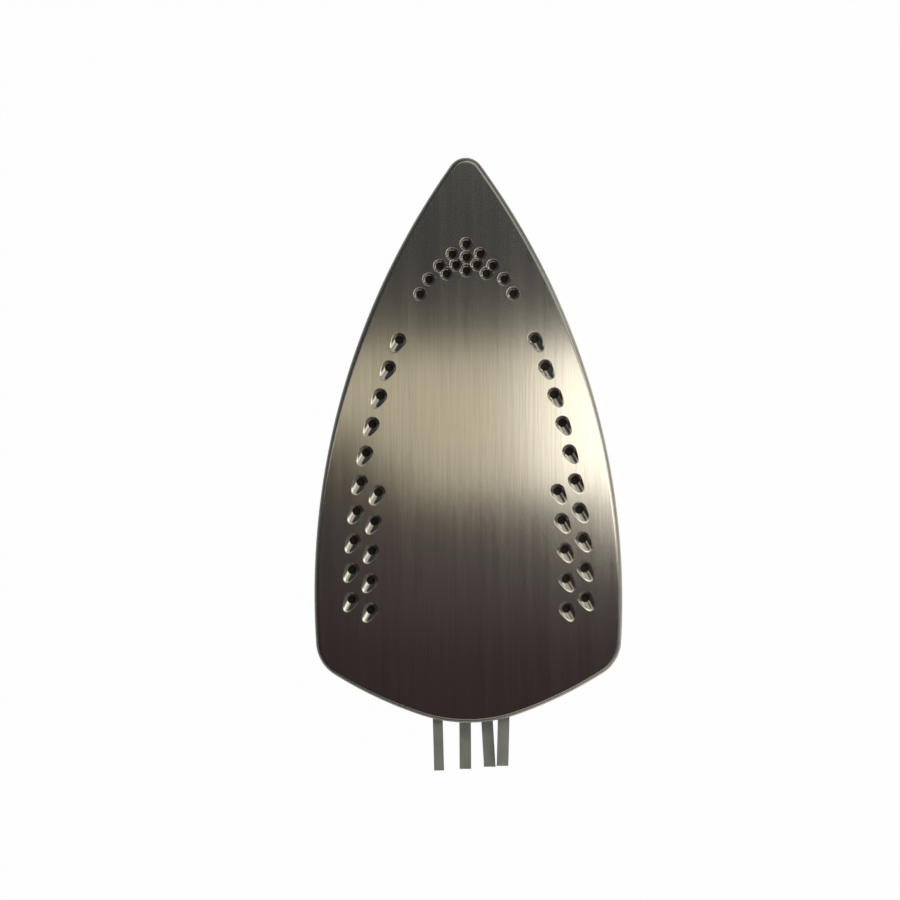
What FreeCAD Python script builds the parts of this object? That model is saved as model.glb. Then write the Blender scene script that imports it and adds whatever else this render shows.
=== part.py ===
"""Soleplate of a steam iron with its heater, steam chamber and thermostat.

The plate lies face up, as it does on a bench: the polished sole looks along +Z, the tip points along +Y,
and the front stud and the two rear posts of the casting stand on the plane z = 0.
Heights called h are measured from the bed, the casting's face under the skin, towards the back of the plate.
"""

import FreeCAD
import Part
import math
import os

V = FreeCAD.Vector

# Driving dimensions, in millimetres and degrees

# outline of the plate: eight tangent arcs
plate_length = 215.0
plate_width = 117.2
widest_from_rear = 47.8
tip_radius = 7.0
rear_radius = 58.0
flank_radius = 155.0
flank_angle = 19.0
corner_radius = 15.0

# pressed steel skin and its hem under the casting's flange
skin_thickness = 0.6
skin_bend_radius = 1.8
hem_width = 2.6
hem_fold_radius = 0.9
rim_clearance = 0.1

# steam holes: dimples pressed with a ball-nosed punch, with a hole at the deepest place
punch_radius = 3.3
side_dimple_depth = 1.3
side_tail_depth = 0.3
side_tail_travel = 3.7
side_tail_angle = 30.0
side_hole_diameter = 3.2
nose_dimple_depth = 1.0
nose_hole_diameter = 3.0

# rows of steam holes; the side rows have equal steps along the side arcs
hole_pitch = 11.22
outer_row_inset = 14.2
outer_row_from_rear = 47.2
outer_row_count = 10
inner_row_inset = 21.4
inner_row_from_rear = 43.2
inner_row_count = 5
chevron_from_tip = 32.9
chevron_pitch = 6.55
chevron_arm_count = 4
inner_chevron_drop = 5.0
inner_chevron_pitch = 4.9
inner_chevron_arm_count = 2
chevron_start_angle = 35.5
chevron_step_angle = 7.6
lone_hole_drop = 10.1

# die-cast body
flange_thickness = 3.5
slab_thickness = 6.0
slab_step = 0.4
post_height = 34.0
post_end_diameter = 9.0
post_foot_diameter = 12.0
post_spacing = 84.0
post_from_rear = 27.0
post_hole_diameter = 3.3
post_hole_depth = 18.0
gusset_thickness = 2.0
gusset_reach = 3.0
gusset_height = 12.0
gusset_angles = (90.0, 180.0, 270.0)
stud_diameter = 4.0
stud_root_diameter = 3.3
stud_from_tip = 24.0
stud_boss_diameter = 12.0
stud_boss_height = 16.0
stud_sink = 9.0
stud_lead = 0.5

# steam galleries in the bed, closed by the skin
gallery_depth = 2.2
gallery_margin = 1.4
gallery_link_width = 6.0
steam_port_diameter = 5.0
nose_pocket_margin = 4.2

# cast-in tubular heater
heater_diameter = 7.0
heater_height = 7.5
heater_inset = 27.0
heater_nose_radius = 10.0
heater_terminal_spacing = 25.1
heater_bend_from_rear = 20.0
heater_tube_from_rear = 9.0
ridge_width = 13.0
ridge_cover = 1.3
ridge_edge_radius = 3.2
ridge_from_rear = 15.0
terminal_relief_diameter = 7.8
bead_diameter = 6.0
bead_length = 4.5
pin_diameter = 2.2
pin_length = 14.0

# flat connection tabs that reach past the rear edge
tab_thickness = 0.8
tab_width = 4.45
left_tab_width = 3.8
tab_reach = 18.8
left_tab_short = 0.3
load_tab_short = 1.1
right_tab_short = 1.9
tab_weld_length = 9.0
tab_groove = 0.4
tab_shift = 0.6
left_tab_lean = 1.2
load_tab_lean = 3.0
right_tab_lean = -1.7

# steam chamber, its gasket and its stamped cover
chamber_inset = 33.0
chamber_front_radius = 6.5
chamber_rear_from_rear = 89.0
chamber_corner_radius = 6.0
chamber_wall = 3.2
chamber_height = 16.0
gasket_thickness = 0.6
cover_thickness = 1.0
cover_panel_inset = 7.0
cover_panel_rise = 1.6
cover_boss_diameter = 8.0
cover_boss_inset = 4.6
labyrinth_rib = 2.0
labyrinth_gap = 5.0
inlet_seal_diameter = 11.0
inlet_hole_diameter = 7.0
inlet_bore_diameter = 3.4
inlet_lip = 1.2

# fasteners
screw_clearance = 0.05
cover_screw_diameter = 3.0
cover_screw_grip = 6.0
thermostat_screw_diameter = 4.0
thermostat_screw_grip = 5.0
head_ratio = 1.8
head_height_ratio = 0.6
head_edge_ratio = 0.25
slot_ratio = 0.3

# thermostat
thermostat_x = 2.7
stack_from_rear = 51.0
pad_rise = 1.5
pad_margin = 2.0
base_thickness = 1.2
base_width = 22.0
base_behind_stack = 15.0
base_before_stack = 34.0
base_hole_margin = 4.8
base_hole_diameter = 4.4
base_corner_radius = 2.5
window_width = 9.5
bimetal_thickness = 0.8
bimetal_width = 7.5
striker_reach = 13.0
striker_diameter = 3.0
striker_clearance = 0.75
insulator_diameter = 12.0
insulator_thickness = 3.2
collar_diameter = 6.6
collar_clearance = 0.1
blade_thickness = 0.4
blade_width = 8.0
blade_reach = 29.0
contact_diameter = 4.0
contact_reach = 26.5
rivet_diameter = 4.0
rivet_head_diameter = 7.0
rivet_head_height = 1.0
rivet_head_edge = 0.6
rivet_clearance = 0.1
tab_offset = 4.2
spindle_reach = 20.0
spindle_diameter = 6.0
spindle_length = 11.8
spindle_clearance = 0.05
spindle_flat = 0.7
spindle_flat_length = 4.5
spindle_gap = 0.2
push_pin_diameter = 3.6
push_pin_height = 1.4
bridge_thickness = 1.2
bridge_width = 10.0
bridge_clearance = 1.4
bridge_bend_radius = 1.8
bush_diameter = 8.0
bush_flange_diameter = 11.0
bush_flange_height = 1.5
bush_barrel = 2.5

# earth connection
earth_outboard = 5.4
earth_from_rear = 24.0
earth_boss_diameter = 9.0
earth_boss_height = 8.0
earth_tab_width = 6.3
earth_tab_height = 12.0
earth_tab_foot = 7.5

# Places worked out from the driving dimensions

bed_z = post_height
sole_z = bed_z + skin_thickness
rear_y = (tab_reach - plate_length) / 2
tip_y = rear_y + plate_length
widest_y = rear_y + widest_from_rear
half_width = plate_width / 2
tip_centre_rise = plate_length - tip_radius - widest_from_rear
side_radius = (half_width**2 + tip_centre_rise**2 - tip_radius**2) / (plate_width - 2 * tip_radius)
side_centre_x = side_radius - half_width

terminal_x = heater_terminal_spacing / 2
leg_x = half_width - heater_inset
earth_x = (terminal_x + leg_x) / 2 + earth_outboard
hem_back = flange_thickness + skin_thickness
stack_y = rear_y + stack_from_rear
spindle_y = stack_y + spindle_reach
contact_y = stack_y + contact_reach
pad_height = slab_thickness + pad_rise
base_back = pad_height + base_thickness
bimetal_back = base_back + bimetal_thickness
load_tab_height = bimetal_back + insulator_thickness
fixed_blade_height = load_tab_height + tab_thickness
fixed_blade_back = fixed_blade_height + blade_thickness
live_tab_height = fixed_blade_back + insulator_thickness
moving_blade_height = live_tab_height + tab_thickness
moving_blade_back = moving_blade_height + blade_thickness
stack_back = moving_blade_back + insulator_thickness
push_pin_back = moving_blade_back + push_pin_height
bridge_height = push_pin_back + bridge_clearance
bridge_back = bridge_height + bridge_thickness
spindle_height = push_pin_back + spindle_gap
chamber_rear_y = rear_y + chamber_rear_from_rear
cover_height = chamber_height + gasket_thickness
cover_back = cover_height + cover_thickness


def side_x(inset, y):
    """Half width of the plate at y, moved inwards by an inset that keeps the side arc's centre."""
    return math.sqrt((side_radius - inset) ** 2 - (y - widest_y) ** 2) - side_centre_x


def side_y(inset, inner_radius):
    """Height on the axis of a circle that touches both side arcs from inside, after their inset."""
    reach = side_radius - inset - inner_radius
    return widest_y + math.sqrt(reach**2 - side_centre_x**2)


def arc(centre, radius, start, end):
    """Edge of a circle round centre, from one angle to another, in degrees, in the plane z = 0."""
    points = [math.radians(a) for a in (start, (start + end) / 2, end)]
    on_arc = [V(centre[0] + radius * math.cos(a), centre[1] + radius * math.sin(a), 0) for a in points]
    return Part.Arc(*on_arc).toShape()


def line(start, end):
    """Straight edge between two plan points."""
    return Part.LineSegment(V(start[0], start[1], 0), V(end[0], end[1], 0)).toShape()


def wire(edges):
    """Wire of edges that are given in any order."""
    return Part.Wire(Part.__sortEdges__(edges))


def polygon(corners):
    """Closed plan wire of straight edges."""
    return wire([line(corners[n - 1], corners[n]) for n in range(len(corners))])


def raised(plan, h_from, h_to):
    """Solid over a closed plan wire, between two heights behind the bed."""
    face = Part.Face(plan)
    face.translate(V(0, 0, bed_z - h_to))
    return face.extrude(V(0, 0, h_to - h_from))


def disc(x, y, diameter, h_from, h_to):
    """Upright cylinder between two heights behind the bed."""
    return Part.makeCylinder(diameter / 2, h_to - h_from, V(x, y, bed_z - h_to))


def block(x_from, x_to, y_from, y_to, h_from, h_to):
    """Box between two heights behind the bed."""
    return Part.makeBox(x_to - x_from, y_to - y_from, h_to - h_from, V(x_from, y_from, bed_z - h_to))


def rounded_block(x_from, x_to, y_from, y_to, h_from, h_to, radius):
    """Box with rounded upright edges."""
    solid = block(x_from, x_to, y_from, y_to, h_from, h_to)
    return solid.makeFillet(radius, upright_edges(solid))


def upright_edges(solid):
    """Straight edges that run along Z."""
    return [e for e in solid.Edges if abs(e.tangentAt(e.FirstParameter).z) > 0.999]


def united(pieces):
    """One solid of several that overlap, with split faces merged."""
    return pieces[0].fuse(pieces[1:]).removeSplitter()


def outline(inset):
    """Closed plan wire of the plate, moved inwards: tip, sides, rear corners, flanks and bowed rear edge."""
    flank_spare = flank_radius - rear_radius
    flank_turn = math.radians(flank_angle)
    rear_centre = (0, rear_y + rear_radius)
    flank = (-flank_spare * math.sin(flank_turn), rear_centre[1] + flank_spare * math.cos(flank_turn))
    side = (-side_centre_x, widest_y)
    corner_to_side = side_radius - corner_radius
    corner_to_flank = flank_radius - corner_radius
    along_x, along_y = flank[0] - side[0], flank[1] - side[1]
    apart = math.hypot(along_x, along_y)
    along = (corner_to_side**2 - corner_to_flank**2 + apart**2) / (2 * apart)
    across = math.sqrt(corner_to_side**2 - along**2)
    corner = (
        side[0] + (along * along_x + across * along_y) / apart,
        side[1] + (along * along_y - across * along_x) / apart,
    )
    tip_centre = (0, tip_y - tip_radius)
    tip_angle = math.degrees(math.atan2(tip_centre[1] - side[1], -side[0]))
    side_angle = math.degrees(math.atan2(corner[1] - side[1], corner[0] - side[0]))
    corner_angle = math.degrees(math.atan2(corner[1] - flank[1], corner[0] - flank[0]))
    right = [
        arc(side, side_radius - inset, tip_angle, side_angle),
        arc(corner, corner_radius - inset, side_angle, corner_angle),
        arc(flank, flank_radius - inset, corner_angle, flank_angle - 90),
    ]
    left = [edge.mirror(V(0, 0, 0), V(1, 0, 0)) for edge in right]
    tip = arc(tip_centre, tip_radius - inset, tip_angle, 180 - tip_angle)
    rear = arc(rear_centre, rear_radius - inset, flank_angle - 90, -90 - flank_angle)
    return wire([tip, rear] + right + left)


def rim_edges(solid, h):
    """Edges of a plate that lie in the plane at height h behind the bed."""
    z = bed_z - h
    return [e for e in solid.Edges if abs(e.BoundBox.ZMin - z) < 1e-6 and abs(e.BoundBox.ZMax - z) < 1e-6]


# Steam holes


def row_places(inset, from_rear, count):
    """Places of a row on the right side, in equal steps along the side arc from its rear hole."""
    radius = side_radius - inset
    start = math.asin((rear_y + from_rear - widest_y) / radius)
    turns = [start + number * hole_pitch / radius for number in range(count)]
    return [(radius * math.cos(turn) - side_centre_x, widest_y + radius * math.sin(turn)) for turn in turns]


def side_holes():
    """Places of the side rows: x, y and the side that the tail points to."""
    outer = row_places(outer_row_inset, outer_row_from_rear, outer_row_count)
    inner = row_places(inner_row_inset, inner_row_from_rear, inner_row_count)
    return [(side * x, y, side) for x, y in outer + inner for side in (-1, 1)]


def chevron_arm(start_y, pitch, count):
    """Places along both arms of a chevron, which steepen from hole to hole."""
    places = [(0, start_y)]
    x, y = 0, start_y
    for number in range(count):
        angle = math.radians(chevron_start_angle + number * chevron_step_angle)
        x += pitch * math.cos(angle)
        y -= pitch * math.sin(angle)
        places += [(-x, y), (x, y)]
    return places


def nose_holes():
    """Places of the nose group: two chevrons and a lone hole behind them."""
    apex_y = tip_y - chevron_from_tip
    outer = chevron_arm(apex_y, chevron_pitch, chevron_arm_count)
    inner = chevron_arm(apex_y - inner_chevron_drop, inner_chevron_pitch, inner_chevron_arm_count)
    return outer + inner + [(0, apex_y - lone_hole_drop)]


def capsule(start, end, radius):
    """Round-ended rod between two points, or a ball where they are one point."""
    axis = end.sub(start)
    if axis.Length < 1e-6:
        return Part.makeSphere(radius, start)
    foot, top = V(0, 0, -radius), V(0, 0, axis.Length + radius)
    low, high = V(radius, 0, 0), V(radius, 0, axis.Length)
    bend = radius / math.sqrt(2)
    profile = [
        Part.Arc(foot, V(bend, 0, -bend), low).toShape(),
        Part.LineSegment(low, high).toShape(),
        Part.Arc(high, V(bend, 0, axis.Length + bend), top).toShape(),
        Part.LineSegment(top, foot).toShape(),
    ]
    solid = Part.Face(Part.Wire(profile)).revolve(V(0, 0, 0), V(0, 0, 1), 360)
    solid.Placement = FreeCAD.Placement(start, FreeCAD.Rotation(V(0, 0, 1), axis))
    return solid


def punch_paths():
    """Start and end of the punch's ball centre at each dimple, with the hole's diameter."""
    lean = math.radians(side_tail_angle)
    rise = punch_radius - side_dimple_depth
    tail_rise = punch_radius - side_tail_depth
    paths = []
    for x, y, side in side_holes():
        head = V(x, y, sole_z + rise)
        tail_x = x + side * side_tail_travel * math.sin(lean)
        tail = V(tail_x, y - side_tail_travel * math.cos(lean), sole_z + tail_rise)
        paths.append((head, tail, side_hole_diameter))
    for x, y in nose_holes():
        head = V(x, y, sole_z + punch_radius - nose_dimple_depth)
        paths.append((head, head, nose_hole_diameter))
    return paths


def make_sole_skin():
    """Pressed steel pan: flat sole, bent rim, hem under the flange, and dimples with steam holes."""
    pan = raised(outline(0), -skin_thickness, hem_back)
    pan = pan.makeFillet(skin_bend_radius, rim_edges(pan, -skin_thickness))
    pan = pan.makeFillet(hem_fold_radius, rim_edges(pan, hem_back))
    hollow = raised(outline(skin_thickness), 0, flange_thickness)
    hollow = hollow.makeFillet(skin_bend_radius - skin_thickness, rim_edges(hollow, 0))
    mouth = raised(outline(skin_thickness + hem_width), flange_thickness, hem_back)
    pan = pan.cut([hollow, mouth])
    paths = punch_paths()
    below = block(-plate_width, plate_width, rear_y, tip_y, -skin_thickness / 2, post_height)
    bumps = [capsule(head, tail, punch_radius + skin_thickness).common(below) for head, tail, _ in paths]
    pan = pan.fuse(bumps)
    dents = [capsule(head, tail, punch_radius) for head, tail, _ in paths]
    holes = [disc(head.x, head.y, width, -skin_thickness, gallery_depth) for head, _, width in paths]
    return pan.cut(dents).cut(holes).removeSplitter()


# Heater


def heater_path(rear_from):
    """Plan wire of the heater: two legs beside the side arcs, a nose bend and S-bends to the terminals."""
    bend_y = rear_y + heater_bend_from_rear
    end_y = rear_y + rear_from
    shift, length = leg_x - terminal_x, widest_y - bend_y
    turn = 2 * math.degrees(math.atan2(shift, length))
    bend = length / (2 * math.sin(math.radians(turn)))
    nose = (0, side_y(heater_inset, heater_nose_radius))
    nose_angle = math.degrees(math.atan2(nose[1] - widest_y, side_centre_x))
    leg_radius = side_radius - heater_inset
    right = [
        line((terminal_x, end_y), (terminal_x, bend_y)),
        arc((terminal_x + bend, bend_y), bend, 180, 180 - turn),
        arc((leg_x - bend, widest_y), bend, -turn, 0),
        arc((-side_centre_x, widest_y), leg_radius, 0, nose_angle),
    ]
    left = [edge.mirror(V(0, 0, 0), V(1, 0, 0)) for edge in right]
    bow = arc(nose, heater_nose_radius, nose_angle, 180 - nose_angle)
    path = wire(right + [bow] + left)
    path.translate(V(0, 0, bed_z - heater_height))
    return path


def swept(path, profile):
    """Solid of a closed profile carried along a path."""
    return path.makePipeShell([profile], True, False)


def make_heater_tube():
    """Steel-sheathed element, swaged solid, bent to a U and cast into the body."""
    start = V(terminal_x, rear_y + heater_tube_from_rear, bed_z - heater_height)
    ring = Part.Circle(start, V(0, 1, 0), heater_diameter / 2).toShape()
    return swept(heater_path(heater_tube_from_rear), Part.Wire(ring))


def make_heater_ridge():
    """Round-shouldered bead of the casting that holds the heater."""
    x, y = terminal_x, rear_y + ridge_from_rear
    half = ridge_width / 2
    root_z = bed_z - slab_thickness / 2
    back_z = bed_z - heater_height - heater_diameter / 2 - ridge_cover
    shoulder = ridge_edge_radius
    bend = shoulder * (1 - 1 / math.sqrt(2))
    corners = [
        V(x - half, y, root_z),
        V(x - half, y, back_z + shoulder),
        V(x - half + bend, y, back_z + bend),
        V(x - half + shoulder, y, back_z),
        V(x + half - shoulder, y, back_z),
        V(x + half - bend, y, back_z + bend),
        V(x + half, y, back_z + shoulder),
        V(x + half, y, root_z),
    ]
    profile = [
        Part.LineSegment(corners[0], corners[1]).toShape(),
        Part.Arc(corners[1], corners[2], corners[3]).toShape(),
        Part.LineSegment(corners[3], corners[4]).toShape(),
        Part.Arc(corners[4], corners[5], corners[6]).toShape(),
        Part.LineSegment(corners[6], corners[7]).toShape(),
        Part.LineSegment(corners[7], corners[0]).toShape(),
    ]
    return swept(heater_path(ridge_from_rear), Part.Wire(profile))


def make_end_bead(side):
    """Ceramic bead that seals one end of the heater round its pin."""
    x = side * terminal_x
    y = rear_y + heater_tube_from_rear - bead_length
    z = bed_z - heater_height
    bead = Part.makeCylinder(bead_diameter / 2, bead_length, V(x, y, z), V(0, 1, 0))
    return bead.cut(Part.makeCylinder(pin_diameter / 2, bead_length, V(x, y, z), V(0, 1, 0)))


def make_cold_pin(side):
    """Round terminal pin from the heater's end, through the bead, to the tab."""
    x = side * terminal_x
    y = rear_y + heater_tube_from_rear - pin_length
    return Part.makeCylinder(pin_diameter / 2, pin_length, V(x, y, bed_z - heater_height), V(0, 1, 0))


def terminal_relief(side):
    """Trough in the slab that keeps the casting clear of one end of the heater."""
    x = side * terminal_x
    place = V(x, rear_y, bed_z - heater_height)
    return Part.makeCylinder(terminal_relief_diameter / 2, ridge_from_rear, place, V(0, 1, 0))


def strip(x, lean, y_front, y_end, width, h):
    """Flat tab that crosses the rear edge at x and leans towards +X on its way to the rear."""
    slope = math.tan(math.radians(lean))
    half = width / 2
    front_x = x - slope * (y_front - rear_y)
    end_x = x + slope * (rear_y - y_end)
    front = [(front_x - half, y_front), (front_x + half, y_front)]
    end = [(end_x + half, y_end), (end_x - half, y_end)]
    return raised(polygon(front + end), h, h + tab_thickness)


def make_heater_tab(side, width, short, lean):
    """Flat tab that is grooved and welded onto a cold pin's side that looks to the sole."""
    x = side * terminal_x + tab_shift
    pin_end = rear_y + heater_tube_from_rear - pin_length
    h = heater_height - pin_diameter / 2 + tab_groove - tab_thickness
    tab = strip(x, lean, pin_end + tab_weld_length, rear_y - tab_reach + short, width, h)
    return tab.cut(make_cold_pin(side))


# Die-cast body


def gallery(inset, from_rear, count):
    """Slot in the bed under one row of dimples on the right side, bounded by two side arcs."""
    lean = math.radians(side_tail_angle)
    punch = punch_radius + skin_thickness + gallery_margin
    out, into = inset - side_tail_travel * math.sin(lean) - gallery_margin - punch_radius / 2, inset + punch
    y_low = rear_y + from_rear - side_tail_travel * math.cos(lean) - punch
    y_high = row_places(inset, from_rear, count)[-1][1] + punch
    centre = (-side_centre_x, widest_y)
    edges = []
    corners = []
    for edge_inset in (out, into):
        radius = side_radius - edge_inset
        low, high = (math.degrees(math.asin((y - widest_y) / radius)) for y in (y_low, y_high))
        edges.append(arc(centre, radius, low, high))
        corners.append([(side_x(edge_inset, y), y) for y in (y_low, y_high)])
    edges += [line(corners[0][end], corners[1][end]) for end in (0, 1)]
    return raised(wire(edges), 0, gallery_depth)


def steam_galleries():
    """Cuts in the bed: the side rows, the link across them, the nose pocket and its feed."""
    right = [
        gallery(outer_row_inset, outer_row_from_rear, outer_row_count),
        gallery(inner_row_inset, inner_row_from_rear, inner_row_count),
    ]
    cuts = right + [piece.mirror(V(0, 0, 0), V(1, 0, 0)) for piece in right]
    link_y = chamber_rear_y + chamber_wall + gallery_link_width
    reach = side_x(outer_row_inset, link_y)
    half = gallery_link_width / 2
    cuts.append(block(-reach, reach, link_y - half, link_y + half, 0, gallery_depth))
    cuts.append(nose_pocket())
    feed_y = chamber_feed_y()
    lone_y = tip_y - chevron_from_tip - lone_hole_drop
    cuts.append(block(-half, half, feed_y - half, lone_y, 0, gallery_depth))
    for x, y in ((-steam_port_x(), link_y), (steam_port_x(), link_y), (0, feed_y)):
        cuts.append(disc(x, y, steam_port_diameter, 0, slab_thickness))
    return cuts


def steam_port_x():
    """Distance from the axis of the two ports at the rear of the chamber."""
    return side_x(chamber_inset + chamber_wall, chamber_rear_y) - chamber_corner_radius


def chamber_feed_y():
    """Place on the axis of the port that feeds the nose."""
    return side_y(chamber_inset, chamber_front_radius) - cover_boss_diameter - steam_port_diameter


def nose_pocket():
    """Pocket in the bed under the nose group, an arrowhead round the chevron with straight sides."""
    places = chevron_arm(tip_y - chevron_from_tip, chevron_pitch, chevron_arm_count)
    apex, (end_x, end_y) = places[0], places[-1]
    foot_y = end_y - nose_pocket_margin
    lone_y = tip_y - chevron_from_tip - lone_hole_drop - nose_pocket_margin
    half = (inner_chevron_arm_count + 1) * inner_chevron_pitch
    corners = [
        (nose_pocket_margin, apex[1] + nose_pocket_margin),
        (end_x + nose_pocket_margin, end_y + nose_pocket_margin),
        (end_x + nose_pocket_margin, foot_y),
        (end_x - nose_pocket_margin, foot_y),
        (half / 2, lone_y),
    ]
    corners += [(-x, y) for x, y in reversed(corners)]
    return raised(polygon(corners), 0, gallery_depth)


def chamber_block(inset, h_from, h_to):
    """Solid over the steam chamber's plan, moved inwards: front bow, side arcs and a straight rear."""
    full_inset = chamber_inset + inset
    front_radius = chamber_front_radius - min(inset, chamber_front_radius / 2)
    front = (0, side_y(full_inset, front_radius))
    front_angle = math.degrees(math.atan2(front[1] - widest_y, side_centre_x))
    low_y = chamber_rear_y + inset
    low_x = side_x(full_inset, low_y)
    low_angle = math.degrees(math.asin((low_y - widest_y) / (side_radius - full_inset)))
    side = arc((-side_centre_x, widest_y), side_radius - full_inset, low_angle, front_angle)
    edges = [
        side,
        side.mirror(V(0, 0, 0), V(1, 0, 0)),
        arc(front, front_radius, front_angle, 180 - front_angle),
        line((-low_x, low_y), (low_x, low_y)),
    ]
    solid = raised(wire(edges), h_from, h_to)
    corners = [e for e in upright_edges(solid) if e.BoundBox.YMax < low_y + 1e-6]
    return solid.makeFillet(chamber_corner_radius - min(inset, chamber_corner_radius / 2), corners)


def cover_screw_places():
    """Places of the three cover screws, on bosses in the corners of the chamber."""
    apex_y = side_y(chamber_inset, chamber_front_radius) + chamber_front_radius
    front_y = apex_y - cover_boss_inset - chamber_wall
    rear = chamber_rear_y + cover_boss_inset
    rear_x = side_x(chamber_inset, rear) - cover_boss_inset
    return [(0, front_y), (-rear_x, rear), (rear_x, rear)]


def labyrinth():
    """Ribs on the chamber's floor that make the steam wander, set in turn from the left and the right."""
    half = side_x(chamber_inset + chamber_wall, chamber_rear_y)
    first_y = chamber_rear_y + chamber_wall + 2 * gallery_link_width
    ribs = []
    for number in range(2):
        y = first_y + number * (labyrinth_rib + labyrinth_gap)
        start = -half if number % 2 == 0 else labyrinth_gap - half
        end = start + 2 * half - labyrinth_gap
        ribs.append(block(start, end, y, y + labyrinth_rib, slab_thickness, chamber_height))
    outer = chamber_block(0, slab_thickness, chamber_height)
    return [rib.common(outer) for rib in ribs]


def make_post(side):
    """Tapered rear post with its foot in the slab."""
    place = V(side * post_spacing / 2, rear_y + post_from_rear, 0)
    return Part.makeCone(post_end_diameter / 2, post_foot_diameter / 2, post_height - flange_thickness, place)


def make_gussets(side):
    """Thin webs that brace a rear post on the slab, each a triangle that runs out from the post's axis."""
    foot = post_foot_diameter / 2 + gusset_reach
    root_z = bed_z - flange_thickness
    corners = [V(0, 0, root_z), V(foot, 0, root_z), V(0, 0, root_z - gusset_height)]
    half = V(0, gusset_thickness / 2, 0)
    web = Part.Face(Part.makePolygon([corner.sub(half) for corner in corners + corners[:1]]))
    web = web.extrude(half * 2)
    place = V(side * post_spacing / 2, rear_y + post_from_rear, 0)
    angles = [angle if side > 0 else 180 - angle for angle in gusset_angles]
    spin = [FreeCAD.Rotation(V(0, 0, 1), angle) for angle in angles]
    return [web.transformed(FreeCAD.Placement(place, turn).Matrix) for turn in spin]


def thermostat_hole_places():
    """Places of the two thermostat screws."""
    rear = stack_y - base_behind_stack + base_hole_margin
    front = stack_y + base_before_stack - base_hole_margin
    return [(thermostat_x, rear), (thermostat_x, front)]


def make_heater_casting():
    """Aluminium body: flange, slab, heater ridge, steam chamber, thermostat pad and posts."""
    flange = raised(outline(skin_thickness + rim_clearance), 0, flange_thickness)
    flange = flange.makeFillet(skin_bend_radius - skin_thickness, rim_edges(flange, 0))
    slab = raised(outline(skin_thickness + hem_width + slab_step), 0, slab_thickness)
    pad_half = base_width / 2 + pad_margin
    pad = rounded_block(
        thermostat_x - pad_half,
        thermostat_x + pad_half,
        stack_y - base_behind_stack - pad_margin,
        stack_y + base_before_stack + pad_margin,
        slab_thickness / 2,
        pad_height,
        base_corner_radius + pad_margin,
    )
    stud_y = tip_y - stud_from_tip
    bosses = [
        disc(0, stud_y, stud_boss_diameter, flange_thickness, stud_boss_height),
        disc(earth_x, rear_y + earth_from_rear, earth_boss_diameter, flange_thickness, earth_boss_height),
    ]
    wall = chamber_block(0, flange_thickness, chamber_height)
    room = chamber_block(chamber_wall, slab_thickness, chamber_height)
    posts = [make_post(-1), make_post(1), *make_gussets(-1), *make_gussets(1)]
    body = flange.fuse([slab, pad, make_heater_ridge(), wall, *posts, *bosses])
    body = body.cut(room)
    places = cover_screw_places()
    inner = [disc(x, y, cover_boss_diameter, slab_thickness, chamber_height) for x, y in places]
    chamber = chamber_block(0, slab_thickness, chamber_height)
    body = body.fuse([boss.common(chamber) for boss in inner] + labyrinth())
    cuts = steam_galleries() + [make_heater_tube(), terminal_relief(-1), terminal_relief(1)]
    for x, y in places:
        cuts.append(disc(x, y, cover_screw_diameter, chamber_height - cover_screw_grip, chamber_height))
    for x, y in thermostat_hole_places():
        cuts.append(disc(x, y, thermostat_screw_diameter, pad_height - thermostat_screw_grip, pad_height))
    earth_y = rear_y + earth_from_rear
    earth_tip = earth_boss_height - thermostat_screw_grip
    cuts.append(disc(earth_x, earth_y, thermostat_screw_diameter, earth_tip, earth_boss_height))
    stud_hole = stud_root_diameter + 2 * screw_clearance
    cuts.append(disc(0, stud_y, stud_hole, stud_boss_height - stud_sink, stud_boss_height))
    for side in (-1, 1):
        x = side * post_spacing / 2
        y = rear_y + post_from_rear
        cuts.append(disc(x, y, post_hole_diameter, post_height - post_hole_depth, post_height))
    return body.cut(cuts).removeSplitter()


def make_front_stud():
    """Stud in the nose boss: its free thread at the outside diameter, its sunk thread at the root."""
    y = tip_y - stud_from_tip
    stud = disc(0, y, stud_diameter, stud_boss_height, post_height)
    stud = stud.makeChamfer(stud_lead, rim_edges(stud, post_height))
    return stud.fuse(disc(0, y, stud_root_diameter, stud_boss_height - stud_sink, stud_boss_height))


# Steam chamber cover


def inlet_place():
    """Place of the water inlet on the axis of the cover."""
    return 0, chamber_feed_y() - inlet_seal_diameter


def make_cover_gasket():
    """Silicone gasket between the chamber's wall and its cover."""
    ring = chamber_block(0, chamber_height, cover_height)
    gasket = ring.cut(chamber_block(chamber_wall, chamber_height, cover_height))
    places = cover_screw_places()
    lobes = [disc(x, y, cover_boss_diameter, chamber_height, cover_height).common(ring) for x, y in places]
    holes = [disc(x, y, cover_screw_diameter, chamber_height, cover_height) for x, y in places]
    return united([gasket, *lobes]).cut(holes)


def make_steam_cover():
    """Stamped cover with a raised stiffening panel, screw holes and the water inlet."""
    sheet = chamber_block(0, cover_height, cover_back)
    panel = chamber_block(cover_panel_inset, cover_height, cover_back + cover_panel_rise)
    under = chamber_block(cover_panel_inset + cover_thickness, cover_height, cover_height + cover_panel_rise)
    cover = united([sheet, panel]).cut(under)
    panel_back = cover_back + cover_panel_rise
    holes = [disc(x, y, cover_screw_diameter, cover_height, cover_back) for x, y in cover_screw_places()]
    holes.append(disc(*inlet_place(), inlet_hole_diameter, cover_height, panel_back))
    return cover.cut(holes)


def make_water_inlet_seal():
    """Silicone grommet that grips the edge of the inlet hole."""
    x, y = inlet_place()
    sheet_front = cover_height + cover_panel_rise
    sheet_back = cover_back + cover_panel_rise
    inner = disc(x, y, inlet_seal_diameter, sheet_front - inlet_lip, sheet_front)
    neck = disc(x, y, inlet_hole_diameter, sheet_front, sheet_back)
    outer = disc(x, y, inlet_seal_diameter, sheet_back, sheet_back + inlet_lip)
    bore = disc(x, y, inlet_bore_diameter, sheet_front - inlet_lip, sheet_back + inlet_lip)
    return united([inner, neck, outer]).cut(bore)


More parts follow.
